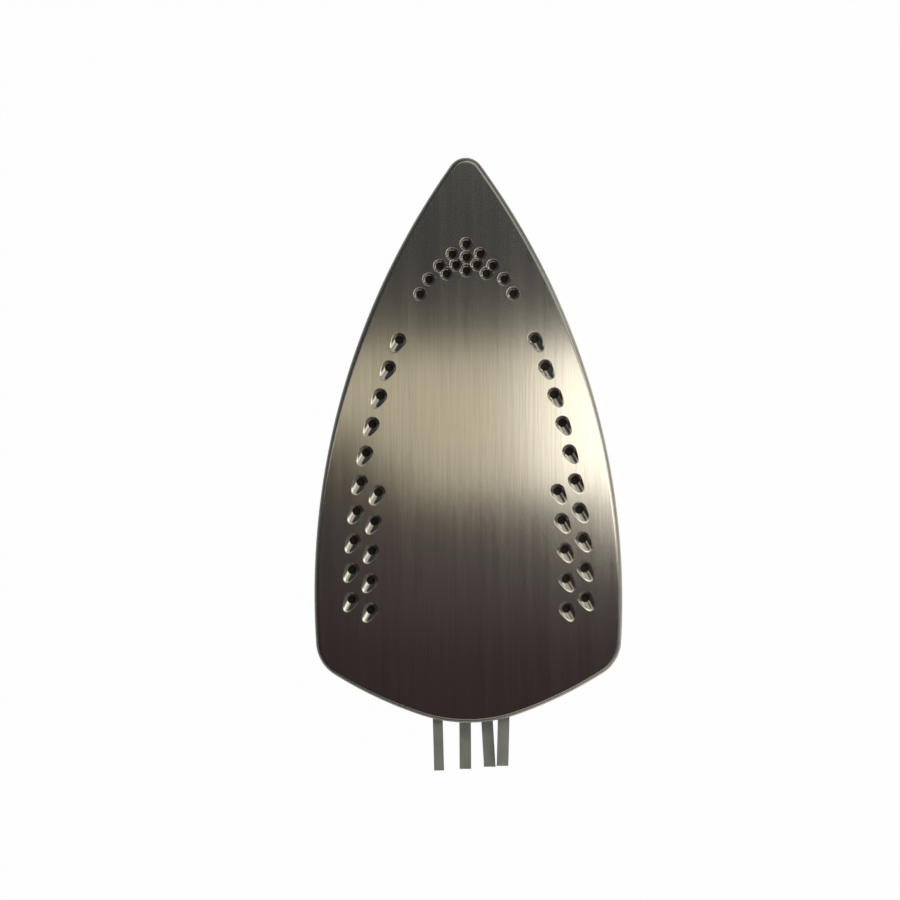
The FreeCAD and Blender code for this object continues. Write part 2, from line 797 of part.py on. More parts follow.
def make_screw(x, y, diameter, h_tip, h_seat):
    """Slotted pan-head screw whose head rests at h_seat; its thread is drawn as a plain shank."""
    head_diameter = diameter * head_ratio
    head_back = h_seat + diameter * head_height_ratio
    slot_half = diameter * slot_ratio / 2
    shank = disc(x, y, diameter - 2 * screw_clearance, h_tip, h_seat)
    head = disc(x, y, head_diameter, h_seat, head_back)
    head = head.makeChamfer(diameter * head_edge_ratio, rim_edges(head, head_back))
    slot_front = head_back - diameter * slot_ratio
    slot = block(x - head_diameter, x + head_diameter, y - slot_half, y + slot_half, slot_front, head_back)
    return shank.fuse(head).cut(slot)


def make_cover_screws():
    """Three screws that hold the steam cover."""
    tip = chamber_height - cover_screw_grip
    screws = [make_screw(x, y, cover_screw_diameter, tip, cover_back) for x, y in cover_screw_places()]
    return Part.makeCompound(screws)


# Thermostat


def eye(diameter, hole, h_from, h_to):
    """Round eye of a stamped strip at the thermostat's stack."""
    ring = disc(thermostat_x, stack_y, diameter, h_from, h_to)
    return ring, disc(thermostat_x, stack_y, hole, h_from, h_to)


def make_thermostat_base():
    """Stamped base on the casting's pad, with a window under the bimetal strip."""
    half = base_width / 2
    base = rounded_block(
        thermostat_x - half,
        thermostat_x + half,
        stack_y - base_behind_stack,
        stack_y + base_before_stack,
        pad_height,
        base_back,
        base_corner_radius,
    )
    window_half = window_width / 2
    window = block(
        thermostat_x - window_half,
        thermostat_x + window_half,
        stack_y + insulator_diameter / 2,
        stack_y + striker_reach + striker_diameter,
        pad_height,
        base_back,
    )
    holes = [disc(x, y, base_hole_diameter, pad_height, base_back) for x, y in thermostat_hole_places()]
    holes.append(disc(thermostat_x, stack_y, rivet_diameter + 2 * rivet_clearance, pad_height, base_back))
    return base.cut([window, *holes])


def make_bimetal_strip():
    """Bimetal strip that bends with the plate's heat and lifts the striker."""
    ring, hole = eye(insulator_diameter, rivet_diameter + 2 * rivet_clearance, base_back, bimetal_back)
    half = bimetal_width / 2
    end_y = stack_y + striker_reach + striker_diameter / 2
    tongue = block(thermostat_x - half, thermostat_x + half, stack_y, end_y, base_back, bimetal_back)
    return united([ring, tongue]).cut(hole)


def make_striker_pin():
    """Ceramic pin on the free end of the bimetal strip, just short of the moving blade."""
    back = moving_blade_height - spindle_gap
    return disc(thermostat_x, stack_y + striker_reach, striker_diameter, bimetal_back, back)


def make_insulator(h_front, collar):
    """Ceramic disc of the stack, with a collar through the strips behind it."""
    h_back = h_front + insulator_thickness
    washer = disc(thermostat_x, stack_y, insulator_diameter, h_front, h_back)
    if collar:
        tall = tab_thickness + blade_thickness - collar_clearance
        washer = united([washer, disc(thermostat_x, stack_y, collar_diameter, h_front, h_back + tall)])
    bore = disc(thermostat_x, stack_y, rivet_diameter + 2 * rivet_clearance, h_front, stack_back)
    return washer.cut(bore)


def make_thermostat_tab(side, h, short, lean):
    """Flat tab from the stack's eye to the rear, left or right of the rivet."""
    ring, hole = eye(insulator_diameter, collar_diameter + 2 * collar_clearance, h, h + tab_thickness)
    x = thermostat_x + side * tab_offset
    tail = strip(x, lean, stack_y, rear_y - tab_reach + short, tab_width, h)
    return united([ring, tail]).cut(hole)


def make_blade(h, notch):
    """Spring blade from the stack's eye to the contact, with a notch for the striker where it passes."""
    back = h + blade_thickness
    ring, hole = eye(insulator_diameter, collar_diameter + 2 * collar_clearance, h, back)
    half = blade_width / 2
    tongue = block(thermostat_x - half, thermostat_x + half, stack_y, stack_y + blade_reach, h, back)
    cuts = [hole]
    if notch:
        cuts.append(disc(thermostat_x, stack_y + striker_reach, striker_diameter + 2 * striker_clearance, h, back))
    return united([ring, tongue]).cut(cuts)


def make_contact(h_from, h_to):
    """Silver contact between the two blades."""
    return disc(thermostat_x, contact_y, contact_diameter, h_from, h_to)


def make_stack_rivet():
    """Rivet that clamps the stack onto the base."""
    shank = disc(thermostat_x, stack_y, rivet_diameter, pad_height, stack_back)
    head = disc(thermostat_x, stack_y, rivet_head_diameter, stack_back, stack_back + rivet_head_height)
    head = head.makeChamfer(rivet_head_edge, rim_edges(head, stack_back + rivet_head_height))
    return shank.fuse(head)


def make_spindle_bridge():
    """Folded bridge over the blades that carries the spindle's bush."""
    half, depth = base_width / 2, bridge_width / 2
    low_y, high_y = spindle_y - depth, spindle_y + depth
    shell = block(thermostat_x - half, thermostat_x + half, low_y, high_y, base_back, bridge_back)
    ridge = [e for e in rim_edges(shell, bridge_back) if e.BoundBox.XLength < 1e-6]
    shell = shell.makeFillet(bridge_bend_radius, ridge)
    inner = half - bridge_thickness
    room = block(thermostat_x - inner, thermostat_x + inner, low_y, high_y, base_back, bridge_height)
    return shell.cut([room, disc(thermostat_x, spindle_y, bush_diameter, bridge_height, bridge_back)])


def bush_back():
    """Height of the bush's free end."""
    return bridge_back + bush_flange_height + bush_barrel


def make_spindle_bush():
    """Brass bush pressed into the bridge, bored for the spindle."""
    neck = disc(thermostat_x, spindle_y, bush_diameter, bridge_height, bush_back())
    flange_back = bridge_back + bush_flange_height
    flange = disc(thermostat_x, spindle_y, bush_flange_diameter, bridge_back, flange_back)
    bore = disc(thermostat_x, spindle_y, spindle_diameter + 2 * spindle_clearance, bridge_height, bush_back())
    return united([neck, flange]).cut(bore)


def make_spindle():
    """Adjusting spindle with a flat for the dial's shaft."""
    back = spindle_height + spindle_length
    rod = disc(thermostat_x, spindle_y, spindle_diameter, spindle_height, back)
    rod = rod.makeChamfer(spindle_flat / 2, rim_edges(rod, back))
    radius = spindle_diameter / 2
    flat_x = thermostat_x + radius - spindle_flat
    low_y, high_y = spindle_y - radius, spindle_y + radius
    flat = block(flat_x, thermostat_x + radius, low_y, high_y, back - spindle_flat_length, back)
    return rod.cut(flat)


def make_push_pin():
    """Ceramic button on the moving blade, under the spindle."""
    return disc(thermostat_x, spindle_y, push_pin_diameter, moving_blade_back, push_pin_back)


def make_thermostat_screws():
    """Two screws that hold the thermostat to the casting."""
    tip = pad_height - thermostat_screw_grip
    places = thermostat_hole_places()
    return Part.makeCompound([make_screw(x, y, thermostat_screw_diameter, tip, base_back) for x, y in places])


# Earth connection


def make_earth_tab():
    """Folded tab with its foot under the earth screw."""
    y = rear_y + earth_from_rear
    foot_back = earth_boss_height + tab_thickness
    half = earth_tab_width / 2
    ring = disc(earth_x, y, earth_boss_diameter, earth_boss_height, foot_back)
    fold_y = y - earth_tab_foot
    foot = block(earth_x - half, earth_x + half, fold_y, y, earth_boss_height, foot_back)
    upright = block(
        earth_x - half,
        earth_x + half,
        fold_y,
        fold_y + tab_thickness,
        earth_boss_height,
        earth_boss_height + earth_tab_height,
    )
    hole = disc(earth_x, y, base_hole_diameter, earth_boss_height, foot_back)
    return united([ring, foot, upright]).cut(hole)


def make_earth_screw():
    """Screw that clamps the earth tab to its boss."""
    tip = earth_boss_height - thermostat_screw_grip
    y = rear_y + earth_from_rear
    return make_screw(earth_x, y, thermostat_screw_diameter, tip, earth_boss_height + tab_thickness)


def make_parts():
    """Every piece of the soleplate by its node name."""
    middle = (fixed_blade_back + moving_blade_height) / 2
    return {
        "sole_skin": make_sole_skin(),
        "heater_casting": make_heater_casting(),
        "heater_tube": make_heater_tube(),
        "left_end_bead": make_end_bead(-1),
        "right_end_bead": make_end_bead(1),
        "left_cold_pin": make_cold_pin(-1),
        "right_cold_pin": make_cold_pin(1),
        "left_heater_tab": make_heater_tab(-1, left_tab_width, left_tab_short, left_tab_lean),
        "right_heater_tab": make_heater_tab(1, tab_width, right_tab_short, right_tab_lean),
        "front_stud": make_front_stud(),
        "steam_cover": make_steam_cover(),
        "cover_gasket": make_cover_gasket(),
        "cover_screws": make_cover_screws(),
        "water_inlet_seal": make_water_inlet_seal(),
        "thermostat_base": make_thermostat_base(),
        "bimetal_strip": make_bimetal_strip(),
        "striker_pin": make_striker_pin(),
        "lower_insulator": make_insulator(bimetal_back, True),
        "middle_insulator": make_insulator(fixed_blade_back, True),
        "upper_insulator": make_insulator(moving_blade_back, False),
        "load_tab": make_thermostat_tab(1, load_tab_height, load_tab_short, load_tab_lean),
        "live_tab": make_thermostat_tab(-1, live_tab_height, 0, 0),
        "fixed_blade": make_blade(fixed_blade_height, True),
        "moving_blade": make_blade(moving_blade_height, False),
        "fixed_contact": make_contact(fixed_blade_back, middle),
        "moving_contact": make_contact(middle, moving_blade_height),
        "stack_rivet": make_stack_rivet(),
        "spindle_bridge": make_spindle_bridge(),
        "spindle_bush": make_spindle_bush(),
        "spindle": make_spindle(),
        "push_pin": make_push_pin(),
        "thermostat_screws": make_thermostat_screws(),
        "earth_tab": make_earth_tab(),
        "earth_screw": make_earth_screw(),
    }


def main():
    """Write one STEP file for each piece."""
    os.makedirs("parts", exist_ok=True)
    for name, shape in make_parts().items():
        shape.exportStep(f"parts/{name}.step")


main()
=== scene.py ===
"""Dressed view of a steam iron's soleplate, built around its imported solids.

The pressed skin and the threaded stud are worked out here as fine surfaces that stand for their
solids. Every other piece keeps its solid and gets the finish of the real one. Lengths are in metres,
+Z is out of the sole face and +Y points to the tip.
"""

import math

import bpy
import numpy as np
from bpy.props import FloatProperty, FloatVectorProperty, IntProperty, PointerProperty
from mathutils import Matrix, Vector
from mathutils.geometry import delaunay_2d_cdt


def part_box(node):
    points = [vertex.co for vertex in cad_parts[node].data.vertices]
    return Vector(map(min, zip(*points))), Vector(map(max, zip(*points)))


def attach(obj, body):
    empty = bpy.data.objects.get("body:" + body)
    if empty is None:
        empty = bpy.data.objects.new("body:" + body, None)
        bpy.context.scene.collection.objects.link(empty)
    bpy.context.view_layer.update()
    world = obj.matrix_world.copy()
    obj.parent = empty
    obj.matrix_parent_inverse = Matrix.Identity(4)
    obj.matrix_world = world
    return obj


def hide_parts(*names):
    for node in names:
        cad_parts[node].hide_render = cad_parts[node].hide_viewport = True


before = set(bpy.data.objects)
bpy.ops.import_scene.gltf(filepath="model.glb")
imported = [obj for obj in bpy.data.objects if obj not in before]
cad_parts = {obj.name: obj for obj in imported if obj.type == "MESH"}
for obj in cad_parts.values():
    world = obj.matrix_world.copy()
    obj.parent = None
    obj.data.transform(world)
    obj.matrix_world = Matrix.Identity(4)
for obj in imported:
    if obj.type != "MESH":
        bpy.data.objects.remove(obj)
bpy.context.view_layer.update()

bl_info = {
    "name": "Steam Iron Soleplate",
    "version": (1, 0, 0),
    "blender": (4, 5, 0),
    "location": "View3D > Sidebar > Soleplate",
    "description": "Dresses the solids of a steam iron soleplate and sets its stage",
    "category": "Object",
}

SKIN_LOW, SKIN_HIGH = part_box("sole_skin")
STUD_LOW, STUD_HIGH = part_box("front_stud")

# Height of the boss face, where the stud's thread ends, and of the steam galleries' floors
BOSS_FACE = 0.018
GALLERY_FLOOR = SKIN_HIGH.z - 0.0028

# Steps along the arcs of the outline, and round its bend
REAR_STEPS, FLANK_STEPS, CORNER_STEPS, SIDE_STEPS, TIP_STEPS = 40, 24, 24, 96, 32
BEND_STEPS = 10

# Directions round a dimple, its levels on the front and the back, and the halvings that find its end,
# which is where its floor is so many lips above the sheet
DIMPLE_RAYS = 48
FRONT_LEVELS, BACK_LEVELS = 15, 6
HALVINGS = 40
END_LIPS = 2.5

# Directions round the stud, its levels in each pitch, and how steeply the thread's ridge rises
STUD_RAYS = 40
PITCH_LEVELS = 10
RIDGE_RISE = 1.3


def length(name, description, default):
    """Length property in metres."""
    return FloatProperty(
        name=name, description=description, default=default, min=0.0, unit="LENGTH", precision=5
    )


def coordinate(name, description, default):
    """Place along an axis in metres, on either side of zero."""
    return FloatProperty(name=name, description=description, default=default, unit="LENGTH")


def angle(name, description, degrees):
    """Angle property, given in degrees and kept in radians."""
    return FloatProperty(name=name, description=description, default=math.radians(degrees), subtype="ANGLE")


def count(name, description, default):
    """Whole number of like things."""
    return IntProperty(name=name, description=description, default=default, min=0)


def strength(name, description, default):
    """Plain factor, such as a lamp's radiance."""
    return FloatProperty(name=name, description=description, default=default, min=0.0, subtype="FACTOR")


def colour(name, description, default):
    """Linear colour property."""
    return FloatVectorProperty(
        name=name, description=description, default=default, min=0.0, max=1.0, size=3, subtype="COLOR"
    )


class SkinSizes(bpy.types.PropertyGroup):
    """Sizes of the pressed skin; its length, width and depth come from the solid's box."""

    widest_from_rear: length("Widest place", "Distance of the widest place from the rear edge", 0.0478)
    tip_radius: length("Tip radius", "Radius of the rounded tip", 0.007)
    rear_radius: length("Rear radius", "Radius of the bowed rear edge", 0.058)
    flank_radius: length("Flank radius", "Radius of the flatter stretches beside the bow", 0.155)
    flank_angle: angle("Flank angle", "Turn of the rear edge from its middle to a flank", 19.0)
    corner_radius: length("Corner radius", "Radius of the rear corners", 0.015)
    thickness: length("Thickness", "Thickness of the sheet", 0.0006)
    bend_radius: length("Bend radius", "Outer radius of the bend round the sole face", 0.0018)
    hem_width: length("Hem width", "Width of the hem under the flange", 0.0026)
    fold_radius: length("Fold radius", "Outer radius of the hem's fold", 0.0009)
    punch_radius: length("Punch radius", "Radius of the ball-nosed punch", 0.0033)
    lip: length("Lip", "Height over which a dimple's edge rounds into the face", 0.00022)
    crest_share: strength("Crest share", "Share of the way to a crest at which a dimple's floor ends", 0.95)
    coined: length("Coined wall", "Thickness of the sheet under a dimple", 0.0004)
    side_depth: length("Side dimple depth", "Depth of a side dimple at its hole", 0.0013)
    tail_depth: length("Tail depth", "Depth at the end of a side dimple's tail", 0.0003)
    tail_travel: length("Tail travel", "Way of the punch along a tail", 0.0037)
    tail_angle: angle("Tail angle", "Turn of the tails outwards from the rear", 30.0)
    side_hole: length("Side hole", "Diameter of a side steam hole", 0.0032)
    nose_depth: length("Nose dimple depth", "Depth of a nose dimple at its hole", 0.001)
    nose_hole: length("Nose hole", "Diameter of a nose steam hole", 0.003)
    hole_pitch: length("Hole pitch", "Distance between side holes along their row", 0.01122)
    outer_inset: length("Outer row inset", "Distance of the outer row from the edge", 0.0142)
    outer_from_rear: length("Outer row start", "First hole of the outer row, from the rear edge", 0.0472)
    outer_count: count("Outer row holes", "Holes in each outer row", 10)
    inner_inset: length("Inner row inset", "Distance of the inner row from the edge", 0.0214)
    inner_from_rear: length("Inner row start", "First hole of the inner row, from the rear edge", 0.0432)
    inner_count: count("Inner row holes", "Holes in each inner row", 5)
    chevron_from_tip: length("Chevron apex", "Distance of the outer chevron's apex from the tip", 0.0329)
    chevron_pitch: length("Chevron pitch", "Distance between holes of the outer chevron", 0.00655)
    chevron_count: count("Chevron holes", "Holes in each arm of the outer chevron", 4)
    inner_drop: length("Inner chevron drop", "Drop from the outer apex to the inner one", 0.005)
    inner_pitch: length("Inner chevron pitch", "Distance between holes of the inner chevron", 0.0049)
    inner_arm_count: count("Inner chevron holes", "Holes in each arm of the inner chevron", 2)
    lone_drop: length("Lone hole drop", "Drop from the outer apex to the lone hole", 0.0101)
    start_angle: angle("Arm angle", "Fall of a chevron's arm at its apex", 35.5)
    step_angle: angle("Arm step", "How much an arm steepens from hole to hole", 7.6)


class StudSizes(bpy.types.PropertyGroup):
    """Sizes of the front stud; its place and length come from the solid's box."""

    diameter: length("Diameter", "Outer diameter of the thread", 0.004)
    root_diameter: length("Root diameter", "Diameter of the part sunk in the boss", 0.0033)
    pitch: length("Pitch", "Pitch of the thread", 0.0007)
    lead: length("Lead", "Chamfer at the free end", 0.0005)


class FinishColours(bpy.types.PropertyGroup):
    """Main colours of the finishes."""

    sole: colour("Sole", "Brushed steel of the sole", (0.63, 0.60, 0.54))
    # Edge is the tone of the painted shade on the bend, on the left and at the tip
    edge: colour("Edge", "Unbrushed steel of the bend", (0.33, 0.34, 0.30))
    casting: colour("Casting", "As-cast aluminium", (0.66, 0.66, 0.65))
    sheath: colour("Heater sheath", "Heat-stained heater tube", (0.36, 0.33, 0.30))
    ceramic: colour("Ceramic", "Unglazed insulators", (0.84, 0.80, 0.72))
    tab: colour("Tabs", "Dull nickel plate of the tabs", (0.60, 0.63, 0.58))
    zinc: colour("Zinc", "Zinc plate of screws and spindle", (0.66, 0.68, 0.69))
    sheet: colour("Sheet steel", "Rolled sheet of cover, base and bridge", (0.56, 0.56, 0.55))
    silicone: colour("Silicone", "Moulded silicone of gasket and seal", (0.45, 0.09, 0.05))
    bronze: colour("Bronze", "Rolled spring strip", (0.62, 0.38, 0.20))
    silver: colour("Silver", "Contacts", (0.84, 0.84, 0.82))
    brass: colour("Brass", "Turned bush", (0.72, 0.53, 0.22))


class StageSizes(bpy.types.PropertyGroup):
    """Camera and studio lamps."""

    camera_rise: length("Camera rise", "Height of the camera above the sole face", 1.6)
    view_width: length("View width", "Width of the picture on the sole face", 0.3421)
    view_x: coordinate("View X", "Middle of the picture across", -0.00665)
    view_y: coordinate("View Y", "Middle of the picture along", 0.0057)
    view_lean: angle("View lean", "Turn of the camera about its axis", -0.36)
    floor_size: length("Floor size", "Side of the floor", 30.0)
    card_rise: length("Card rise", "Height above the sole of the soft cards that it mirrors", 0.3)
    band_radiance: strength("Band cards", "Radiance of the cards over the plate", 0.68)
    glare_radiance: strength("Glare card", "Radiance of the card on the right of the plate", 2.2)
    far_radiance: strength("Far card", "Radiance of the card beyond the glare card", 1.0)
    glow_radiance: strength("Glow card", "Radiance of the faint card over the plate's rear", 0.025)
    right_radiance: strength("Right of the room", "Radiance of the room on the right", 0.14)
    side_radiance: strength("Side lamp", "Radiance of the low lamp on the right, turned off the nose", 0.9)
    tail_radiance: strength("Tail lamp", "Radiance of the high lamp that the left tails mirror", 0.5)
    rear_radiance: strength("Rear lamp", "Radiance of the soft lamp high behind the tabs", 0.55)


# Surfaces


def side_arc(sizes):
    """Arc of the right side: its centre's y, its radius, and how far its centre lies left of the axis."""
    widest_y = SKIN_LOW.y + sizes.widest_from_rear
    tip_rise = SKIN_HIGH.y - sizes.tip_radius - widest_y
    spare = SKIN_HIGH.x - sizes.tip_radius
    radius = (SKIN_HIGH.x**2 + tip_rise**2 - sizes.tip_radius**2) / (2 * spare)
    return widest_y, radius, radius - SKIN_HIGH.x


def outline_rays(sizes):
    """Rays of the plate's outline, counter-clockwise from the bowed rear edge's left end.

    The outline is eight tangent arcs: bowed rear, right flank, right corner, right side, tip, and the left
    ones. A point of an arc is the arc's centre plus its radius along a ray, so an inset only shortens the
    radius.
    """
    widest_y, side_radius, side_x = side_arc(sizes)
    tip_y = SKIN_HIGH.y - sizes.tip_radius
    rear_y = SKIN_LOW.y + sizes.rear_radius
    spare = sizes.flank_radius - sizes.rear_radius
    flank_x = -spare * math.sin(sizes.flank_angle)
    flank_y = rear_y + spare * math.cos(sizes.flank_angle)
    to_side = side_radius - sizes.corner_radius
    to_flank = sizes.flank_radius - sizes.corner_radius
    run, rise = flank_x + side_x, flank_y - widest_y
    apart = math.hypot(run, rise)
    along = (to_side**2 - to_flank**2 + apart**2) / (2 * apart)
    across = math.sqrt(to_side**2 - along**2)
    corner_x = (along * run + across * rise) / apart - side_x
    corner_y = (along * rise - across * run) / apart + widest_y
    half = math.pi
    tip_turn = math.atan2(tip_y - widest_y, side_x)
    side_turn = math.atan2(corner_y - widest_y, corner_x + side_x)
    corner_turn = math.atan2(corner_y - flank_y, corner_x - flank_x)
    flank_turn = sizes.flank_angle - half / 2
    arcs = [
        ((0, rear_y), sizes.rear_radius, -half - flank_turn, flank_turn, REAR_STEPS),
        ((flank_x, flank_y), sizes.flank_radius, flank_turn, corner_turn, FLANK_STEPS),
        ((corner_x, corner_y), sizes.corner_radius, corner_turn, side_turn, CORNER_STEPS),
        ((-side_x, widest_y), side_radius, side_turn, tip_turn, SIDE_STEPS),
        ((0, tip_y), sizes.tip_radius, tip_turn, half - tip_turn, TIP_STEPS),
        ((side_x, widest_y), side_radius, half - tip_turn, half - side_turn, SIDE_STEPS),
        ((-corner_x, corner_y), sizes.corner_radius, half - side_turn, half - corner_turn, CORNER_STEPS),
        ((-flank_x, flank_y), sizes.flank_radius, half - corner_turn, half - flank_turn, FLANK_STEPS),
    ]
    centres = np.concatenate([np.tile(centre, (steps, 1)) for centre, _, _, _, steps in arcs])
    radii = np.concatenate([np.full(steps, radius) for _, radius, _, _, steps in arcs])
    turns = np.concatenate([
        np.linspace(start, end, steps, endpoint=False) for _, _, start, end, steps in arcs
    ])
    return centres, radii, np.stack((np.cos(turns), np.sin(turns)), axis=1)


def rim_grid(sizes, seam):
    """Rim of the skin: a profile of inset and height, carried along the outline's rays.

    The profile runs from the sole face through a quarter round, the upright wall and the fold to the hem,
    round the hem's raw edge, and back inside the sheet to its rear face.
    """
    top, low, bed = SKIN_HIGH.z, SKIN_LOW.z, SKIN_HIGH.z - sizes.thickness
    turn = np.linspace(0, math.pi / 2, BEND_STEPS)
    hem_end = sizes.thickness + sizes.hem_width
    inner = sizes.bend_radius - sizes.thickness
    inset = np.concatenate((
        [sizes.bend_radius + seam],
        sizes.bend_radius * (1 - np.sin(turn)),
        sizes.fold_radius * (1 - np.cos(turn)),
        [hem_end, hem_end, sizes.thickness],
        sizes.bend_radius - inner * np.sin(turn[::-1]),
        [sizes.bend_radius + seam],
    ))
    height = np.concatenate((
        [top],
        top - sizes.bend_radius * (1 - np.cos(turn)),
        low + sizes.fold_radius * (1 - np.sin(turn)),
        [low, low + sizes.thickness, low + sizes.thickness],
        bed - inner * (1 - np.cos(turn[::-1])),
        [bed],
    ))
    centres, radii, rays = outline_rays(sizes)
    plan = centres + (radii - inset[:, None])[:, :, None] * rays
    level = np.broadcast_to(height[:, None, None], plan.shape[:2] + (1,))
    return np.concatenate((plan, level), axis=2)


def chevron(sizes, apex_y, pitch, arm_count):
    """Places of a chevron's holes: each arm adds steps of one pitch along a direction that steepens."""
    fall = sizes.start_angle + sizes.step_angle * np.arange(arm_count)
    x = np.cumsum(pitch * np.cos(fall))
    y = apex_y - np.cumsum(pitch * np.sin(fall))
    return np.stack((np.concatenate(([0], -x, x)), np.concatenate(([apex_y], y, y))), axis=1)


def row_places(sizes, inset, from_rear, number):
    """Places of a row on the right side: equal steps along the inset side arc, from the rear hole."""
    widest_y, radius, side_x = side_arc(sizes)
    radius -= inset
    start = math.asin((SKIN_LOW.y + from_rear - widest_y) / radius)
    turn = start + sizes.hole_pitch / radius * np.arange(number)
    return np.stack((radius * np.cos(turn) - side_x, widest_y + radius * np.sin(turn)), axis=1)


def steam_holes(sizes):
    """Arrays over all dimples: place, tail, the ball's travel, rise and slope, and the hole's radius."""
    right = np.concatenate((
        row_places(sizes, sizes.outer_inset, sizes.outer_from_rear, sizes.outer_count),
        row_places(sizes, sizes.inner_inset, sizes.inner_from_rear, sizes.inner_count),
    ))
    apex_y = SKIN_HIGH.y - sizes.chevron_from_tip
    nose = np.concatenate((
        chevron(sizes, apex_y, sizes.chevron_pitch, sizes.chevron_count),
        chevron(sizes, apex_y - sizes.inner_drop, sizes.inner_pitch, sizes.inner_arm_count),
        [[0, apex_y - sizes.lone_drop]],
    ))
    on_side = np.repeat([True, False], (2 * len(right), len(nose)))
    place = np.concatenate((right, right * (-1, 1), nose))
    outwards = np.sign(place[:, 0]) * math.sin(sizes.tail_angle)
    tail = np.stack((outwards, np.full(len(place), -math.cos(sizes.tail_angle))), axis=1)
    tail[~on_side] = (0, -1)
    return {
        "place": place,
        "tail": tail,
        "travel": np.where(on_side, sizes.tail_travel, 0.0),
        "rise": sizes.punch_radius - np.where(on_side, sizes.side_depth, sizes.nose_depth),
        "slope": np.where(on_side, (sizes.side_depth - sizes.tail_depth) / sizes.tail_travel, 0.0),
        "hole": np.where(on_side, sizes.side_hole, sizes.nose_hole) / 2,
    }


def punch_floors(holes, points, radius):
    """Heights, above the sole face, of every dimple's floor at plan points; the last axis counts dimples.

    A floor is the underside of a round-ended rod that climbs along the tail. The ball that touches a point
    has its centre at the point's way along the rod, less what the climb leans it back, kept between the
    rod's ends. The floor is the centre's height less the ball's drop there.
    """
    offset = points[..., None, :] - holes["place"]
    along = (offset * holes["tail"]).sum(axis=-1)
    across = offset[..., 1] * holes["tail"][:, 0] - offset[..., 0] * holes["tail"][:, 1]
    slope = holes["slope"]
    lean = slope / np.sqrt(1 + slope**2) * np.sqrt(np.maximum(radius**2 - across**2, 0))
    centre = np.clip(along - lean, 0, holes["travel"])
    drop = np.maximum(radius**2 - across**2 - (along - centre) ** 2, 0)
    return holes["rise"] + slope * centre - np.sqrt(drop)


def softened(floor, plane, lip):
    """Lower of a floor and a plane, rounded off where they differ by less than the lip."""
    overlap = np.maximum(lip - np.abs(floor - plane), 0) / lip
    return np.minimum(floor, plane) - overlap**2 * lip / 4


def dimple_grid(sizes):
    """Dimples as polar grids: hole, level from the face into the hole and out to the back, direction.

    Along each direction the end is found by halving: where the dimple's floor has risen well above the
    sheet, or where a neighbour's floor is lower. Two rings are drawn in from there, both flat where there
    is no neighbour, so that floors don't meet on a crest. Heights are the lowest floor's, rounded into the
    next floor and into the sheet.
    """
    holes = steam_holes(sizes)
    every = np.arange(len(holes["place"]))
    turn = np.linspace(0, 2 * math.pi, DIMPLE_RAYS, endpoint=False)
    ray = np.stack((np.cos(turn), np.sin(turn)), axis=1)
    hole = np.broadcast_to(holes["hole"][:, None, None], (len(every), 1, len(turn)))

    def plan(reach):
        return holes["place"][:, None, None, :] + reach[..., None] * ray

    def inside(reach, radius, plane):
        floors = punch_floors(holes, plan(reach), radius)
        own = floors[every, :, :, every]
        floors[every, :, :, every] = plane + END_LIPS * sizes.lip
        return own < floors.min(axis=-1)

    def levels(radius, plane, steps):
        near, far = hole, hole + sizes.tail_travel + radius
        for _ in range(HALVINGS):
            middle = (near + far) / 2
            within = inside(middle, radius, plane)
            near, far = np.where(within, middle, near), np.where(within, far, middle)
        reach = hole + (sizes.crest_share * near - hole) * np.linspace(1, 0, steps)[:, None]
        reach = np.concatenate(((1 + sizes.crest_share) / 2 * near, reach), axis=1)
        floors = np.partition(punch_floors(holes, plan(reach), radius), 1, axis=-1)
        return reach, softened(softened(floors[..., 0], floors[..., 1], sizes.lip), plane, sizes.lip)

    front, front_height = levels(sizes.punch_radius, 0.0, FRONT_LEVELS)
    back_radius = sizes.punch_radius + sizes.coined
    back, back_height = levels(back_radius, -sizes.thickness, BACK_LEVELS)
    reach = np.concatenate((front, back[:, ::-1]), axis=1)
    height = np.concatenate((front_height, back_height[:, ::-1]), axis=1)
    return np.concatenate((plan(reach), SKIN_HIGH.z + height[..., None]), axis=3)


def flat_fill(points, loops):
    """Triangles, facing up, of the sheet between its outer loop, the first, and the dimples' loops.

    The loops are convex, so a triangle with all its corners on one dimple's loop lies in that dimple and is
    left out.
    """
    order = np.concatenate(loops)
    loop_of = np.repeat(np.arange(len(loops)), [len(loop) for loop in loops])
    sides = np.concatenate([np.stack((loop, np.roll(loop, -1)), axis=1) for loop in loops])
    place_of = np.zeros(len(points), int)
    place_of[order] = np.arange(len(order))
    millimetres = [Vector(place) for place in points[order, :2] * 1000]
    same_within = 1e-4
    _, _, faces, origins, _, _ = delaunay_2d_cdt(
        millimetres, place_of[sides].tolist(), [], 0, same_within
    )
    given = np.array([ids[0] for ids in origins])
    triangles = given[np.array(faces)]
    owner = loop_of[triangles]
    in_dimple = (owner == owner[:, :1]).all(axis=1) & (owner[:, 0] > 0)
    return order[triangles[~in_dimple]]


def ring_quads(rows, columns, first=0):
    """Four-cornered faces of a grid whose columns close into a ring, numbered row by row from first."""
    row, column = np.meshgrid(np.arange(rows - 1), np.arange(columns), indexing="ij")
    after = (column + 1) % columns
    here, below = row * columns, (row + 1) * columns
    corners = (here + column, below + column, below + after, here + after)
    return first + np.stack(corners, axis=-1).reshape(-1, 4)


